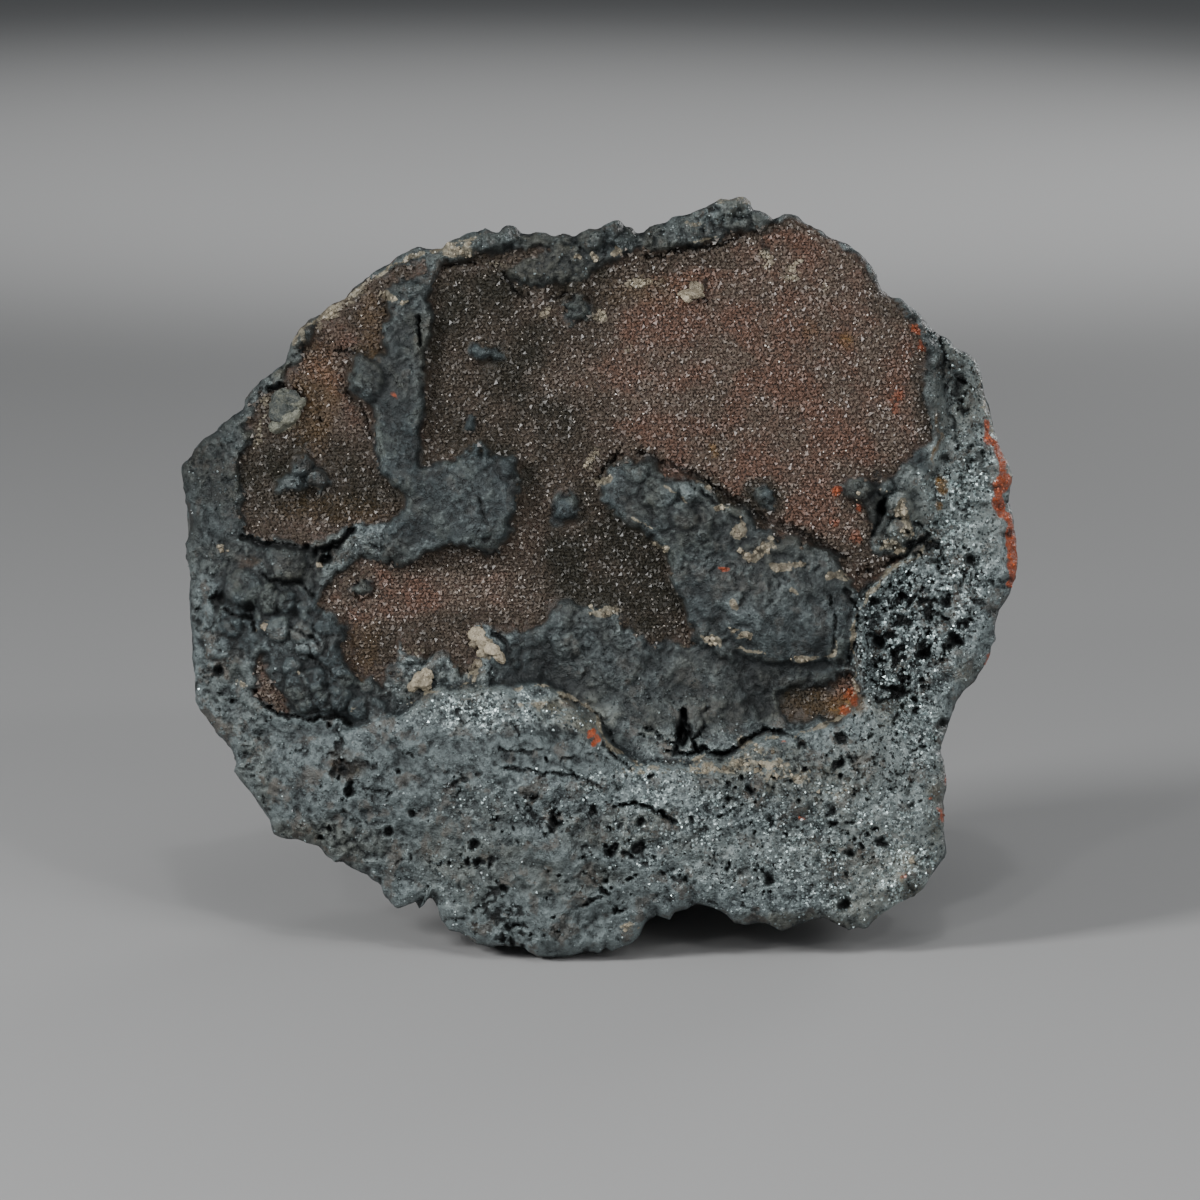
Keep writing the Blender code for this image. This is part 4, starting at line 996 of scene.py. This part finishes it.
def rock(face):
    """The whole rock as one closed skin: the face, and the sides and back behind it."""
    random = np.random.default_rng(3)
    angles, radii = rim_loop()
    loop = MIDDLE + np.column_stack([np.cos(angles), -np.sin(angles)]) * radii[:, None]

    low, high = loop.min(axis=0), loop.max(axis=0)
    fine = jittered(low, high, FACE_STEP, random)
    fine = fine[face.at("druse", fine) < 5]
    sparse = jittered(low, high, HIDDEN_STEP, random)
    sparse = sparse[face.at("druse", sparse) >= 5]
    inner = np.vstack([fine, sparse])
    offset = inner - MIDDLE
    reach = np.interp(np.arctan2(-offset[:, 1], offset[:, 0]), angles, radii, period=2 * math.pi)
    inner = inner[np.hypot(*offset.T) < reach - RIM_GAP]
    front = np.vstack([loop, inner])
    front_faces = triangles(front, len(loop))
    front_place = np.column_stack([across(front[:, 0]), up(front[:, 1]), face.at("height", front)])

    near = jittered((-DISC, -DISC), (DISC, DISC), NEAR_STEP, random)
    inward = np.hypot(*near.T) / DISC
    near = near[(inward > NEAR_FROM) & (inward < NEAR_TO)]
    far = jittered((-DISC, -DISC), (DISC, DISC), FAR_STEP, random)
    far = far[np.hypot(*far.T) / DISC <= NEAR_FROM]
    spread = np.vstack([near, far])
    hoop = np.column_stack([np.cos(angles), np.sin(angles)]) * DISC
    rear_faces = triangles(np.vstack([hoop, spread]), len(loop))
    turn = np.arctan2(spread[:, 1], spread[:, 0])
    rear_place = behind_face(turn, np.hypot(*spread.T) / DISC, angles, radii, face)

    # The rear sheet shares the rim's points with the front one
    shifted = np.where(rear_faces < len(loop), rear_faces, rear_faces + len(inner))
    place = stand(np.vstack([front_place, rear_place]))
    faces = np.vstack([front_faces, shifted])
    marks = {name: np.append(face.at(name, front), np.zeros(len(rear_place))) for name in MARKS}
    marks["shade"][len(front):] = 0.25
    marks["matte"][len(front):] = 0.5
    marks["proud"][len(front):] = 0.5
    marks["rust"][len(front):] = 0.28 * np.clip(grain_noise(rear_place, 9 * MM, 12) * 2 - 0.4, 0, 1)
    marks["cream"][len(front):] = 0.5 * np.clip(grain_noise(rear_place, 12 * MM, 13) * 2 - 0.7, 0, 1)

    bm = bmesh.new()
    mesh = mesh_of("rock", place, faces, marks)
    bm.from_mesh(mesh)
    cut = bmesh.ops.bisect_plane(
        bm, geom=[*bm.verts, *bm.edges, *bm.faces], plane_co=(0, 0, 0), plane_no=(0, 0, -1), clear_outer=True
    )
    edges = [item for item in cut["geom_cut"] if isinstance(item, bmesh.types.BMEdge)]
    bmesh.ops.triangle_fill(bm, edges=edges, use_beauty=True)
    bmesh.ops.recalc_face_normals(bm, faces=bm.faces[:])
    smooth = bm.verts.layers.float["smooth"]
    for polygon in bm.faces:
        polygon.smooth = polygon.verts[0][smooth] > 0.4
    bm.to_mesh(mesh)
    bm.free()
    return mesh


def mesh_of(name, points, faces, marks):
    """A mesh of triangles, with a number at each point for each mark."""
    mesh = bpy.data.meshes.new(name)
    mesh.from_pydata(points, [], faces)
    for mark, values in marks.items():
        layer = mesh.attributes.new(mark, "FLOAT", "POINT")
        layer.data.foreach_set("value", np.ascontiguousarray(values, np.float32))
    return mesh


def mesh_of_copies(name, form, points, faces, marks):
    """The mesh of many copies of a form, with one number for each copy and mark."""
    marks = {mark: np.repeat(values, len(form)) for mark, values in marks.items()}
    return mesh_of(name, stand(points), faces, marks)


def turned(axes, spins):
    """For each axis, the three columns of a turn that brings +Z onto it, after a spin about +Z."""
    axes = axes / np.linalg.norm(axes, axis=1)[:, None]
    helper = np.where(np.abs(axes[:, :1]) > 0.9, [[0.0, 1.0, 0.0]], [[1.0, 0.0, 0.0]])
    right = np.cross(helper, axes)
    right /= np.linalg.norm(right, axis=1)[:, None]
    ahead = np.cross(axes, right)
    cos, sin = np.cos(spins)[:, None], np.sin(spins)[:, None]
    return right * cos + ahead * sin, ahead * cos - right * sin, axes


def strewn(form, faces, places, sizes, axes, random):
    """Many copies of a small form, each with a size, an axis and a chance spin, as one mesh's arrays."""
    across_axis, along_axis, up_axis = turned(axes, random.uniform(0, 2 * math.pi, len(places)))
    form = np.array(form, float)
    points = (
        form[None, :, :1] * across_axis[:, None]
        + form[None, :, 1:2] * along_axis[:, None]
        + form[None, :, 2:] * up_axis[:, None]
    )
    points = points * sizes[:, None, None] + places[:, None]
    faces = np.array(faces)[None] + len(form) * np.arange(len(places))[:, None, None]
    return points.reshape(-1, 3), faces.reshape(-1, 3)


# A rhombohedron's corner as it shows above what it grew from, and a blunt grain
TIP = [(0, 0, 0.52), *[(math.cos(a), math.sin(a), -0.38) for a in np.radians((90, 210, 330))]]
TIP_FACES = [(0, 1, 2), (0, 2, 3), (0, 3, 1), (3, 2, 1)]
GRAIN = [
    (0.55, 0.1, 0.42), (-0.2, 0.58, 0.5), (-0.35, -0.5, 0.46), (0.6, -0.45, -0.35), (0.25, 0.7, -0.4),
    (-0.75, 0.15, -0.35),
]
GRAIN_FACES = [(0, 1, 2), (0, 4, 1), (1, 5, 2), (2, 3, 0), (0, 3, 4), (1, 4, 5), (2, 5, 3), (3, 5, 4)]


def on_face(face, points, lift):
    """Where points of the picture lie on the face, and the way it faces there."""
    place = np.column_stack([across(points[:, 0]), up(points[:, 1]), face.at("height", points) + lift])
    normal = np.column_stack([-face.at("slope_x", points), -face.at("slope_y", points), np.ones(len(points))])
    return place, normal / np.linalg.norm(normal, axis=1)[:, None]


def within_rim(points, margin):
    """Which points lie inside the outline by a margin in px."""
    return from_edge(points) > margin


def druse(face, name):
    """One hollow's crust of small rhombohedra, tips outward, joined as one mesh."""
    glitter, seed = GLINTS[name]
    random = np.random.default_rng(seed)
    corners = np.array(DRUSE[name], float)
    points = jittered(corners.min(axis=0) - 8, corners.max(axis=0) + 8, CRYSTAL_SPACING, random)
    border = face.at(name, points) + random.uniform(-6, 3, len(points)) + 5 * rough(points, 11, 53, 2)
    points = points[(border > 0) & within_rim(points, 3)]
    sizes = random.uniform(0.62, 1.15, len(points)) * CRYSTAL_SPACING * PX
    lifts = 0.25 * MM + random.uniform(-0.12, 0.16, len(points)) * MM
    # Every so often a smaller one stands on the rest, painted near white as a glint
    glints = points[random.random(len(points)) < glitter]
    glints = glints + random.uniform(-1.5, 1.5, glints.shape)
    points = np.vstack([points, glints])
    sizes = np.append(sizes, 0.65 * PX + 0.95 * PX * random.random(len(glints)) ** 2)
    lifts = np.append(lifts, random.uniform(0.30, 0.45, len(glints)) * MM)
    place, normal = on_face(face, points, lifts)
    axes = normal + random.normal(size=place.shape) * 0.36
    forms, faces = strewn(TIP, TIP_FACES, place, sizes, axes, random)
    marks = {mark: face.at(mark, points) for mark in ("dusk", "ochre", "cream", "rust", "dark")}
    marks["chance"] = random.random(len(points))
    marks["pale"] = np.arange(len(points)) >= len(points) - len(glints)
    return mesh_of_copies(name, TIP, forms, faces, marks)


def metal_grains(face, name, low, high, seed):
    """Blunt metallic grains over one part of the broken rock, joined as one mesh."""
    random = np.random.default_rng(seed)
    points = jittered(low, high, GRAIN_SPACING, random)
    bare = face.at("druse", points) < -6
    plenty = (1 - face.at("smooth", points)) * (0.35 + 0.65 * face.at("glitter", points))
    plenty *= 1 - 0.8 * face.at("matte", points)
    chosen = random.random(len(points)) < plenty
    clear = face.at("dark", points) < 0.4
    points = points[bare & chosen & clear & within_rim(points, 2)]
    sizes = random.uniform(0.18, 0.42, len(points)) * MM * (0.8 + 0.35 * face.at("glitter", points))
    place, normal = on_face(face, points, 0)
    axes = normal + random.normal(size=place.shape) * 0.9
    forms, faces = strewn(GRAIN, GRAIN_FACES, place, sizes, axes, random)
    marks = {mark: face.at(mark, points) for mark in ("glitter", "cream", "rust", "ochre", "shade")}
    marks["chance"] = random.random(len(points))
    return mesh_of_copies(name, GRAIN, forms, faces, marks)


def pale_grains(face, name, seed):
    """Small blocky crystals over the cream patches of the rock and the druse, joined as one mesh."""
    random = np.random.default_rng(seed)
    points = jittered((LEFT, 190), (RIGHT, FOOT[1]), PALE_SPACING, random)
    chosen = face.at("cream_spots", points) > random.uniform(0.3, 0.9, len(points))
    points = points[chosen & (face.at("dark", points) < 0.5) & within_rim(points, 4)]
    sizes = random.uniform(0.18, 0.62, len(points)) * MM
    sizes *= np.where(random.random(len(points)) < 0.12, 1.5, 1)
    crust = 0.3 * MM * (face.at("druse", points) > 0)
    place, normal = on_face(face, points, crust + random.uniform(-0.15, 0.08, len(points)) * MM)
    axes = normal + random.normal(size=place.shape) * 0.8
    forms, faces = strewn(GRAIN, GRAIN_FACES, place, sizes, axes, random)
    # proud carries the rock's painted highlight and shade onto the grains
    marks = {"pale": random.random(len(points)), "proud": face.at("proud", points)}
    return mesh_of_copies(name, GRAIN, forms, faces, marks)


def crystal_cluster(face, name):
    """A cluster of worn, blocky lumps grown through one another."""
    sphere = bmesh.new()
    bmesh.ops.create_icosphere(sphere, subdivisions=4, radius=1)
    ways = np.array([v.co[:] for v in sphere.verts])
    faces = np.array([[v.index for v in f.verts] for f in sphere.faces])
    sphere.free()
    all_points, all_faces, pale = [], [], []
    for column, row, length, width, height, turn, paleness, seed in CRYSTALS[name]:
        random = np.random.default_rng(seed)
        planes = random.normal(size=(11, 3))
        planes /= np.linalg.norm(planes, axis=1)[:, None]
        reach = np.min(random.uniform(0.74, 0.98, 11) / np.clip(ways @ planes.T, 0.2, None), axis=1)
        reach = np.minimum(reach, 1.15)
        lump = ways * reach[:, None]
        uneven = 0.14 * grain_noise(lump, 0.5, seed) + 0.10 * grain_noise(lump, 0.22, seed + 1)
        lump = lump * (1 + uneven)[:, None]
        lump = lump * (length, width, height) * PX
        cos, sin = math.cos(math.radians(turn)), math.sin(math.radians(turn))
        lump = lump @ np.array([[cos, sin, 0], [-sin, cos, 0], [0, 0, 1]])
        place, normal = on_face(face, np.array([(column, row)], float), 0.35 * height * PX)
        all_faces.append(faces + sum(len(points) for points in all_points))
        all_points.append(lump + place + 0.2 * height * PX * normal)
        pale.append(np.full(len(lump), paleness))
    points = np.vstack(all_points)
    marks = {"pale": np.concatenate(pale), "proud": grain_noise(points, 0.7 * MM, 50) * 0.5 + 0.5}
    return mesh_of(name, stand(points), np.vstack(all_faces), marks)


class Wire:
    """A node's output in a finish. Sums and products with it add Math nodes."""

    def __init__(self, finish, socket):
        self.finish, self.socket = finish, socket

    def maths(self, operation, *values):
        """A Math node fed with wires and numbers."""
        return self.finish.node("ShaderNodeMath", {"operation": operation}, dict(enumerate(values)))

    def __add__(self, other):
        return self.maths("ADD", self, other)

    __radd__ = __add__

    def __sub__(self, other):
        return self.maths("SUBTRACT", self, other)

    def __rsub__(self, other):
        return self.maths("SUBTRACT", other, self)

    def __mul__(self, other):
        return self.maths("MULTIPLY", self, other)

    __rmul__ = __mul__

    def clipped(self):
        """The number held between 0 and 1."""
        return self.finish.node("ShaderNodeClamp", {}, {0: self})

    def over(self, threshold, width):
        """0 below a threshold and 1 above it, with a soft step width wide."""
        sockets = {"Value": self, "From Min": threshold - width / 2, "From Max": threshold + width / 2}
        return self.finish.node("ShaderNodeMapRange", {"interpolation_type": "SMOOTHSTEP"}, sockets)


class Finish:
    """A material whose nodes are written as expressions. Colours are linear."""

    def __init__(self, name, **constants):
        self.material = bpy.data.materials.new(name)
        self.material.use_nodes = True
        self.tree = self.material.node_tree
        self.shader = self.tree.nodes["Principled BSDF"]
        for socket, value in constants.items():
            self.shader.inputs[socket.replace("_", " ")].default_value = value

    def node(self, kind, settings, inputs, output=0):
        """Any node: its settings are set first, then the values or links of its sockets."""
        node = self.tree.nodes.new(kind)
        for setting, value in settings.items():
            setattr(node, setting, value)
        for key, value in inputs.items():
            self.feed(node.inputs[key], value)
        return Wire(self, node.outputs[output])

    def feed(self, socket, value):
        """Link a wire to a socket, or give the socket a value."""
        if isinstance(value, Wire):
            self.tree.links.new(value.socket, socket)
        else:
            socket.default_value = value

    def mark(self, name):
        """A number that the mesh holds at each point."""
        return self.node("ShaderNodeAttribute", {"attribute_name": name}, {}, "Fac")

    def place(self):
        """Each point of the surface, in metres."""
        return self.node("ShaderNodeTexCoord", {}, {}, "Object")

    def cloud(self, grain, detail=2.0, roughness=0.5):
        """Soft noise with lumps about a grain across, in metres."""
        inputs = {"Vector": self.place(), "Scale": 1 / grain, "Detail": detail, "Roughness": roughness}
        return self.node("ShaderNodeTexNoise", {}, inputs)

    def specks(self, grain):
        """Small cells about a grain across, each with a chance number."""
        cells = self.node("ShaderNodeTexVoronoi", {}, {"Vector": self.place(), "Scale": 1 / grain}, "Color")
        return self.node("ShaderNodeSeparateColor", {}, {0: cells})

    def mix(self, first, second, share):
        """One colour passing into another."""
        colours = {0: share, 6: first if isinstance(first, Wire) else (*first, 1)}
        colours[7] = second if isinstance(second, Wire) else (*second, 1)
        return self.node("ShaderNodeMix", {"data_type": "RGBA"}, colours, 2)

    def bumped(self, height, distance):
        """A surface raised by a height from 0 to 1 times a distance in metres."""
        return self.node("ShaderNodeBump", {}, {"Height": height, "Distance": distance, "Strength": 1.0})

    def set(self, **sockets):
        """Feed the shader's sockets, and give the finished material."""
        for socket, value in sockets.items():
            self.feed(self.shader.inputs[socket.replace("_", " ")], value)
        return self.material


# Colours, linear
BLACK = (0.003, 0.004, 0.004)
OXIDE_DARK = (0.007, 0.010, 0.011)
CRUST_GREY = (0.030, 0.041, 0.044)
OXIDE = (0.060, 0.074, 0.078)
OXIDE_PALE = (0.145, 0.176, 0.178)
OXIDE_ASH = (0.23, 0.26, 0.25)
SILVER = (0.60, 0.72, 0.72)
GREEN_GREY = (0.062, 0.068, 0.052)
UMBER = (0.036, 0.024, 0.018)
RED_BROWN = (0.152, 0.086, 0.062)
GREY_BROWN = (0.122, 0.094, 0.073)
PAINTED_GLINT = (0.92, 0.84, 0.75)
OLIVE = (0.020, 0.018, 0.012)
CREAM_STONE = (0.30, 0.27, 0.20)
CREAM_SHADE = (0.105, 0.090, 0.062)
RUST_RED = (0.50, 0.085, 0.012)
RUST_DARK = (0.085, 0.022, 0.012)
OCHRE_STONE = (0.17, 0.090, 0.020)
OLIVE_DARK = (0.009, 0.010, 0.008)
OLIVE_PALE = (0.088, 0.086, 0.066)
BROWN_GREY = (0.072, 0.058, 0.046)
CREAM_LIGHT = (0.46, 0.40, 0.29)
CREAM_DEEP = (0.075, 0.060, 0.038)
GREEN_LIGHT = (0.22, 0.22, 0.165)
GREEN_DEEP = (0.020, 0.026, 0.023)
PAPER = (0.30, 0.30, 0.30)
DAYLIGHT = (0.75, 0.80, 0.85)


def oxide_finish():
    """The rock: dull blue-grey crust, granular metallic breaks, and stains, with painted shade and highlight.
    """
    look = Finish("oxide_rock", Specular_IOR_Level=0.35)
    smooth, glitter, matte, dark = (look.mark(name) for name in ("smooth", "glitter", "matte", "dark"))
    proud, palest, shade = (look.mark(name) for name in ("proud", "palest", "shade"))
    wide, fine = look.cloud(6 * MM, 4, 0.6), look.cloud(0.8 * MM, 4, 0.7)
    crisp = look.cloud(0.32 * MM, 2, 0.6)
    chance, facet = look.specks(0.36 * MM), look.specks(0.85 * MM)
    # lit, and proud wherever it is read in this finish, are painted light and shade: paler where the rock
    # stands proud of what lies round it, darker where it lies in a hollow
    lit = proud * 1.5 + fine * 1.2 + crisp * 1.3 + wide * 1.2 - 2.24
    crust = look.mix(OXIDE_DARK, CRUST_GREY, lit.clipped() * 1.15)
    crust = look.mix(crust, OXIDE_PALE, (chance * 0.6 + proud * 0.4 + wide * 0.5).over(1.08, 0.2) * 0.4)
    crust = look.mix(crust, GREEN_GREY, wide.over(0.55, 0.12) * lit.clipped() * 0.4)
    # Thin creases in the crust, bumped in and painted black as shade
    creases = look.cloud(2.6 * MM, 4, 0.55) - 0.5
    wrinkle = 1 - (creases * creases).over(0.00016, 0.00022)
    wrinkle = wrinkle * look.cloud(5 * MM, 2).over(0.48, 0.10) * (smooth + matte * 0.7).clipped()
    lit_grains = fine * 0.5 + crisp * 0.3 + proud * 0.8 + palest * 0.15
    grainy = look.mix(OXIDE_DARK, OXIDE, lit_grains.over(0.62, 0.6))
    pale = chance * 0.6 + proud * 0.4 + crisp * 0.3 + palest * 0.36 + glitter * 0.06 - 0.1
    grainy = look.mix(grainy, OXIDE_PALE, pale.over(0.58, 0.46))
    grainy = look.mix(grainy, OXIDE_ASH, (palest + crisp * 0.8 + fine * 0.6 - 0.92).clipped())
    # Silvery specks, thickest where the grains glitter: metallic, with a painted pale share for glints
    bright = (chance + glitter * 0.30 + (proud - 0.5) * 0.3 + (fine - 0.5) * 0.4).over(0.98, 0.14)
    grainy = look.mix(grainy, SILVER, bright * (0.15 + 0.85 * glitter) * (1 - matte * 0.7))
    dull = fine * 0.4 + crisp * 0.6 + proud + chance * 0.15 + wide * 0.6 + palest * 0.2 - 1.03
    dull = look.mix(OXIDE_DARK, OXIDE_PALE, dull.clipped())
    grainy = look.mix(grainy, dull, matte)
    # Small holes, bumped in and painted black as shade
    holes = (look.cloud(0.75 * MM, 3, 0.55) - look.mark("pitted") * 0.13 + matte * 0.03).over(0.315, 0.05)
    grainy = look.mix(BLACK, grainy, holes)
    colour = look.mix(grainy, crust, smooth)
    olive = look.mix(OLIVE_DARK, OLIVE_PALE, (lit * 0.8 + chance * 0.2 + palest * 0.5).clipped())
    colour = look.mix(colour, olive, look.mark("olive").clipped() * (0.6 + wide * 0.6))
    tinted = look.cloud(3.4 * MM, 3, 0.6).over(0.58, 0.1) * (0.3 + lit.clipped() * 0.4) * (1 - smooth * 0.7)
    colour = look.mix(colour, BROWN_GREY, tinted)
    # Painted shade, with the rock's own darker tone
    colour = look.mix(colour, OXIDE_DARK, shade * 0.75)
    colour = look.mix(colour, BLACK, wrinkle * 0.75)
    brown = look.mix(UMBER, RED_BROWN, (fine * 0.8 + crisp * 1.2 + chance * 0.4 - 1.0).clipped())
    brown = look.mix(brown, OLIVE, look.mark("dusk"))
    colour = look.mix(colour, brown, look.mark("brown"))
    patchy = fine * 0.9 + wide * 0.5 - 0.5
    stone = fine * 0.7 + crisp * 0.7 + facet * 0.9 + proud * 0.5 - 1.1
    stone = look.mix(CREAM_SHADE, CREAM_STONE, stone.clipped())
    speckled = (look.mark("cream") * 1.1 + patchy * 0.9 + facet * 0.3 - 0.55).over(0.32, 0.22)
    colour = look.mix(colour, stone, speckled * 0.85)
    ochre = (look.mark("ochre") + patchy * 0.6).over(0.5, 0.5)
    colour = look.mix(colour, OCHRE_STONE, ochre * (0.4 + 0.6 * fine))
    rusty = look.mix(RUST_DARK, RUST_RED, (fine * 0.8 + crisp * 0.9 + proud * 0.4 - 0.65).clipped())
    rusted = (look.mark("rust") + patchy * 0.7).over(0.5, 0.4)
    colour = look.mix(colour, rusty, rusted * (0.6 + 0.4 * chance))
    # Painted shade in the hollows
    colour = look.mix(colour, BLACK, dark)
    # Less metallic where there are stains and where shade is painted
    stains_and_shade = look.mark("cream") + look.mark("rust") + look.mark("brown") + dark
    metal = (bright * 0.6 + 0.15) * (1 - smooth * 0.8) * (1 - stains_and_shade.clipped())
    shine = 0.5 + smooth * 0.12 + matte * 0.1 + (fine - 0.5) * 0.3 - bright * 0.16
    height = fine * 0.7 + crisp * 0.5 + chance * 0.2 + holes * 0.4 - wrinkle * 0.5
    return look.set(Base_Color=colour, Metallic=metal, Roughness=shine, Normal=look.bumped(height, 0.4 * MM))


def druse_finish():
    """The small crystals: brown-red, darker and olive in places, a few painted near white as glints."""
    look = Finish("druse", IOR=1.6, Coat_Roughness=0.08)
    chance, dusk, pale = look.mark("chance"), look.mark("dusk"), look.mark("pale")
    fine = look.cloud(0.5 * MM, 2)
    wide = look.cloud(7 * MM, 4, 0.6)
    stone = look.mix(RED_BROWN, GREY_BROWN, (wide + dusk * 0.5).over(0.5, 0.2))
    colour = look.mix(UMBER, stone, (chance * 0.4 + fine * 0.4 + wide * 0.4 + 0.15).clipped())
    colour = look.mix(colour, OLIVE, (dusk * 0.96).clipped())
    colour = look.mix(colour, OCHRE_STONE, look.mark("ochre") * 0.5)
    # Painted glints: the crystals marked pale are painted near white
    colour = look.mix(colour, PAINTED_GLINT, pale * (0.1 + chance * chance * 1.3).clipped() * (1 - dusk * 0.3))
    colour = look.mix(colour, RUST_RED, (look.mark("rust") * 0.65).clipped())
    colour = look.mix(colour, CREAM_STONE, (look.mark("cream") * 0.9).clipped())
    # Painted shade where the rock beneath is painted dark
    colour = look.mix(colour, BLACK, look.mark("dark") * 0.8)
    return look.set(Base_Color=colour, Roughness=0.36 + fine * 0.2 - pale * 0.16, Coat_Weight=pale * 0.9)


def grain_finish():
    """The grains: silvery to black metal, dusted in the stains' colours."""
    look = Finish("metal_grains")
    chance, glitter = look.mark("chance"), look.mark("glitter")
    fine = look.cloud(0.4 * MM, 2)
    colour = look.mix(OXIDE_DARK, OXIDE_PALE, (chance * 0.9 + (fine - 0.4)).clipped())
    # Silvery where the grains glitter: metallic, with a painted pale share for glints
    bright = (chance + glitter * 0.30).over(0.98, 0.2)
    colour = look.mix(colour, SILVER, bright)
    # Painted shade, with the rock's own darker tone
    colour = look.mix(colour, OXIDE_DARK, look.mark("shade") * 0.7)
    colour = look.mix(colour, CREAM_STONE, (look.mark("cream") * 0.9).clipped())
    colour = look.mix(colour, OCHRE_STONE, look.mark("ochre") * 0.8)
    colour = look.mix(colour, RUST_RED, look.mark("rust"))
    metal = (0.25 + bright * 0.6) * (1 - (look.mark("cream") + look.mark("rust")).clipped())
    return look.set(Base_Color=colour, Metallic=metal, Roughness=0.26 + fine * 0.2)


def pale_finish(name, light, deep):
    """The blocky crystals: waxy, with rough stained faces."""
    look = Finish(name, IOR=1.55)
    fine, wide = look.cloud(0.35 * MM, 4, 0.7), look.cloud(1.5 * MM, 3)
    # proud adds painted highlight and shade on the pale grains, from the rock's relief; on the clusters it is
    # noise
    share = look.mark("pale") * 0.6 + fine * 1.3 + look.mark("proud") * 0.5 + wide * 0.9 - 1.3
    colour = look.mix(deep, light, share.clipped())
    return look.set(Base_Color=colour, Roughness=0.3 + fine * 0.3, Normal=look.bumped(fine, 0.3 * MM))


def add_piece(name, mesh, material, node):
    """Put a mesh in the scene as a piece of the specimen, in place of its solid."""
    piece = bpy.data.objects.new(name, mesh)
    bpy.context.scene.collection.objects.link(piece)
    mesh.materials.append(material)
    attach(piece, "root")
    if node:
        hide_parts(node)


def build_specimen():
    """Every piece, each in place of its solid or on the rock."""
    face = Face()
    oxide, crystals, grains = oxide_finish(), druse_finish(), grain_finish()
    cream = pale_finish("cream_crystal", CREAM_LIGHT, CREAM_DEEP)
    grey = pale_finish("grey_crystal", GREEN_LIGHT, GREEN_DEEP)
    add_piece("rock", rock(face), oxide, "matrix")
    for name in DRUSE:
        add_piece(f"{name}_crystals", druse(face, name), crystals, f"druse_{name}")
    for name in CRYSTALS:
        finish, slot = (grey, "grey_crystal") if name == "grey_crystal" else (cream, "pale_crystal")
        add_piece(f"{name}_cluster", crystal_cluster(face, name), finish, name)
    add_piece("pale_grains", pale_grains(face, "pale_grains", 15), cream, None)
    for name, low, high, seed in GRAIN_PATCHES:
        add_piece(name, metal_grains(face, name, low, high, seed), grains, None)


def shine_at(name, lamp, place, aim):
    """Put a lamp in the scene at a place, aimed at another."""
    holder = bpy.data.objects.new(name, lamp)
    holder.location = place
    holder.rotation_euler = (Vector(aim) - Vector(place)).to_track_quat("-Z", "Y").to_euler()
    bpy.context.scene.collection.objects.link(holder)


def studio():
    """A wide pale floor, soft lights, and small ones for the glints."""
    mesh = bpy.data.meshes.new("floor")
    corners = [(x * FLOOR_REACH, y * FLOOR_REACH, 0) for x, y in ((-1, -1), (1, -1), (1, 1), (-1, 1))]
    mesh.from_pydata(corners, [], [(0, 1, 2, 3)])
    mesh.materials.append(Finish("pale_paper").set(Base_Color=(*PAPER, 1), Roughness=0.85))
    floor_sheet = bpy.data.objects.new("floor", mesh)
    bpy.context.scene.collection.objects.link(floor_sheet)

    world = bpy.data.worlds.new("studio")
    world.use_nodes = True
    world.node_tree.nodes["Background"].inputs["Color"].default_value = (*DAYLIGHT, 1)
    world.node_tree.nodes["Background"].inputs["Strength"].default_value = 0.15
    bpy.context.scene.world = world

    for name, place, size, power in LAMPS:
        lamp = bpy.data.lights.new(name, "AREA")
        lamp.size = size
        lamp.energy = power
        shine_at(name, lamp, place, LAMP_AIM)

    # A pool of light on the floor behind, which shows as the paler middle of the background
    pool = bpy.data.lights.new("pool", "SPOT")
    pool.energy = 45.0
    pool.spot_size = math.radians(42)
    pool.spot_blend = 1.0
    pool.shadow_soft_size = 0.05
    shine_at("pool", pool, (0, 0.70, 1.20), (0, 1.0, 0))


def camera():
    """The camera, straight before the leaning face."""
    aim = Vector(stand(np.array([(across(PICTURE / 2), up(PICTURE / 2), 0)]))[0])
    lens = bpy.data.cameras.new("camera")
    lens.lens = lens.sensor_width * CAMERA_DISTANCE / (PICTURE * PX)
    holder = bpy.data.objects.new("camera", lens)
    toward = Vector((0, -math.cos(LEAN), math.sin(LEAN)))
    holder.location = aim + CAMERA_DISTANCE * toward
    holder.rotation_euler = (-toward).to_track_quat("-Z", "Y").to_euler()
    bpy.context.scene.collection.objects.link(holder)
    bpy.context.scene.camera = holder


camera()
studio()
build_specimen()

bpy.context.view_layer.update()
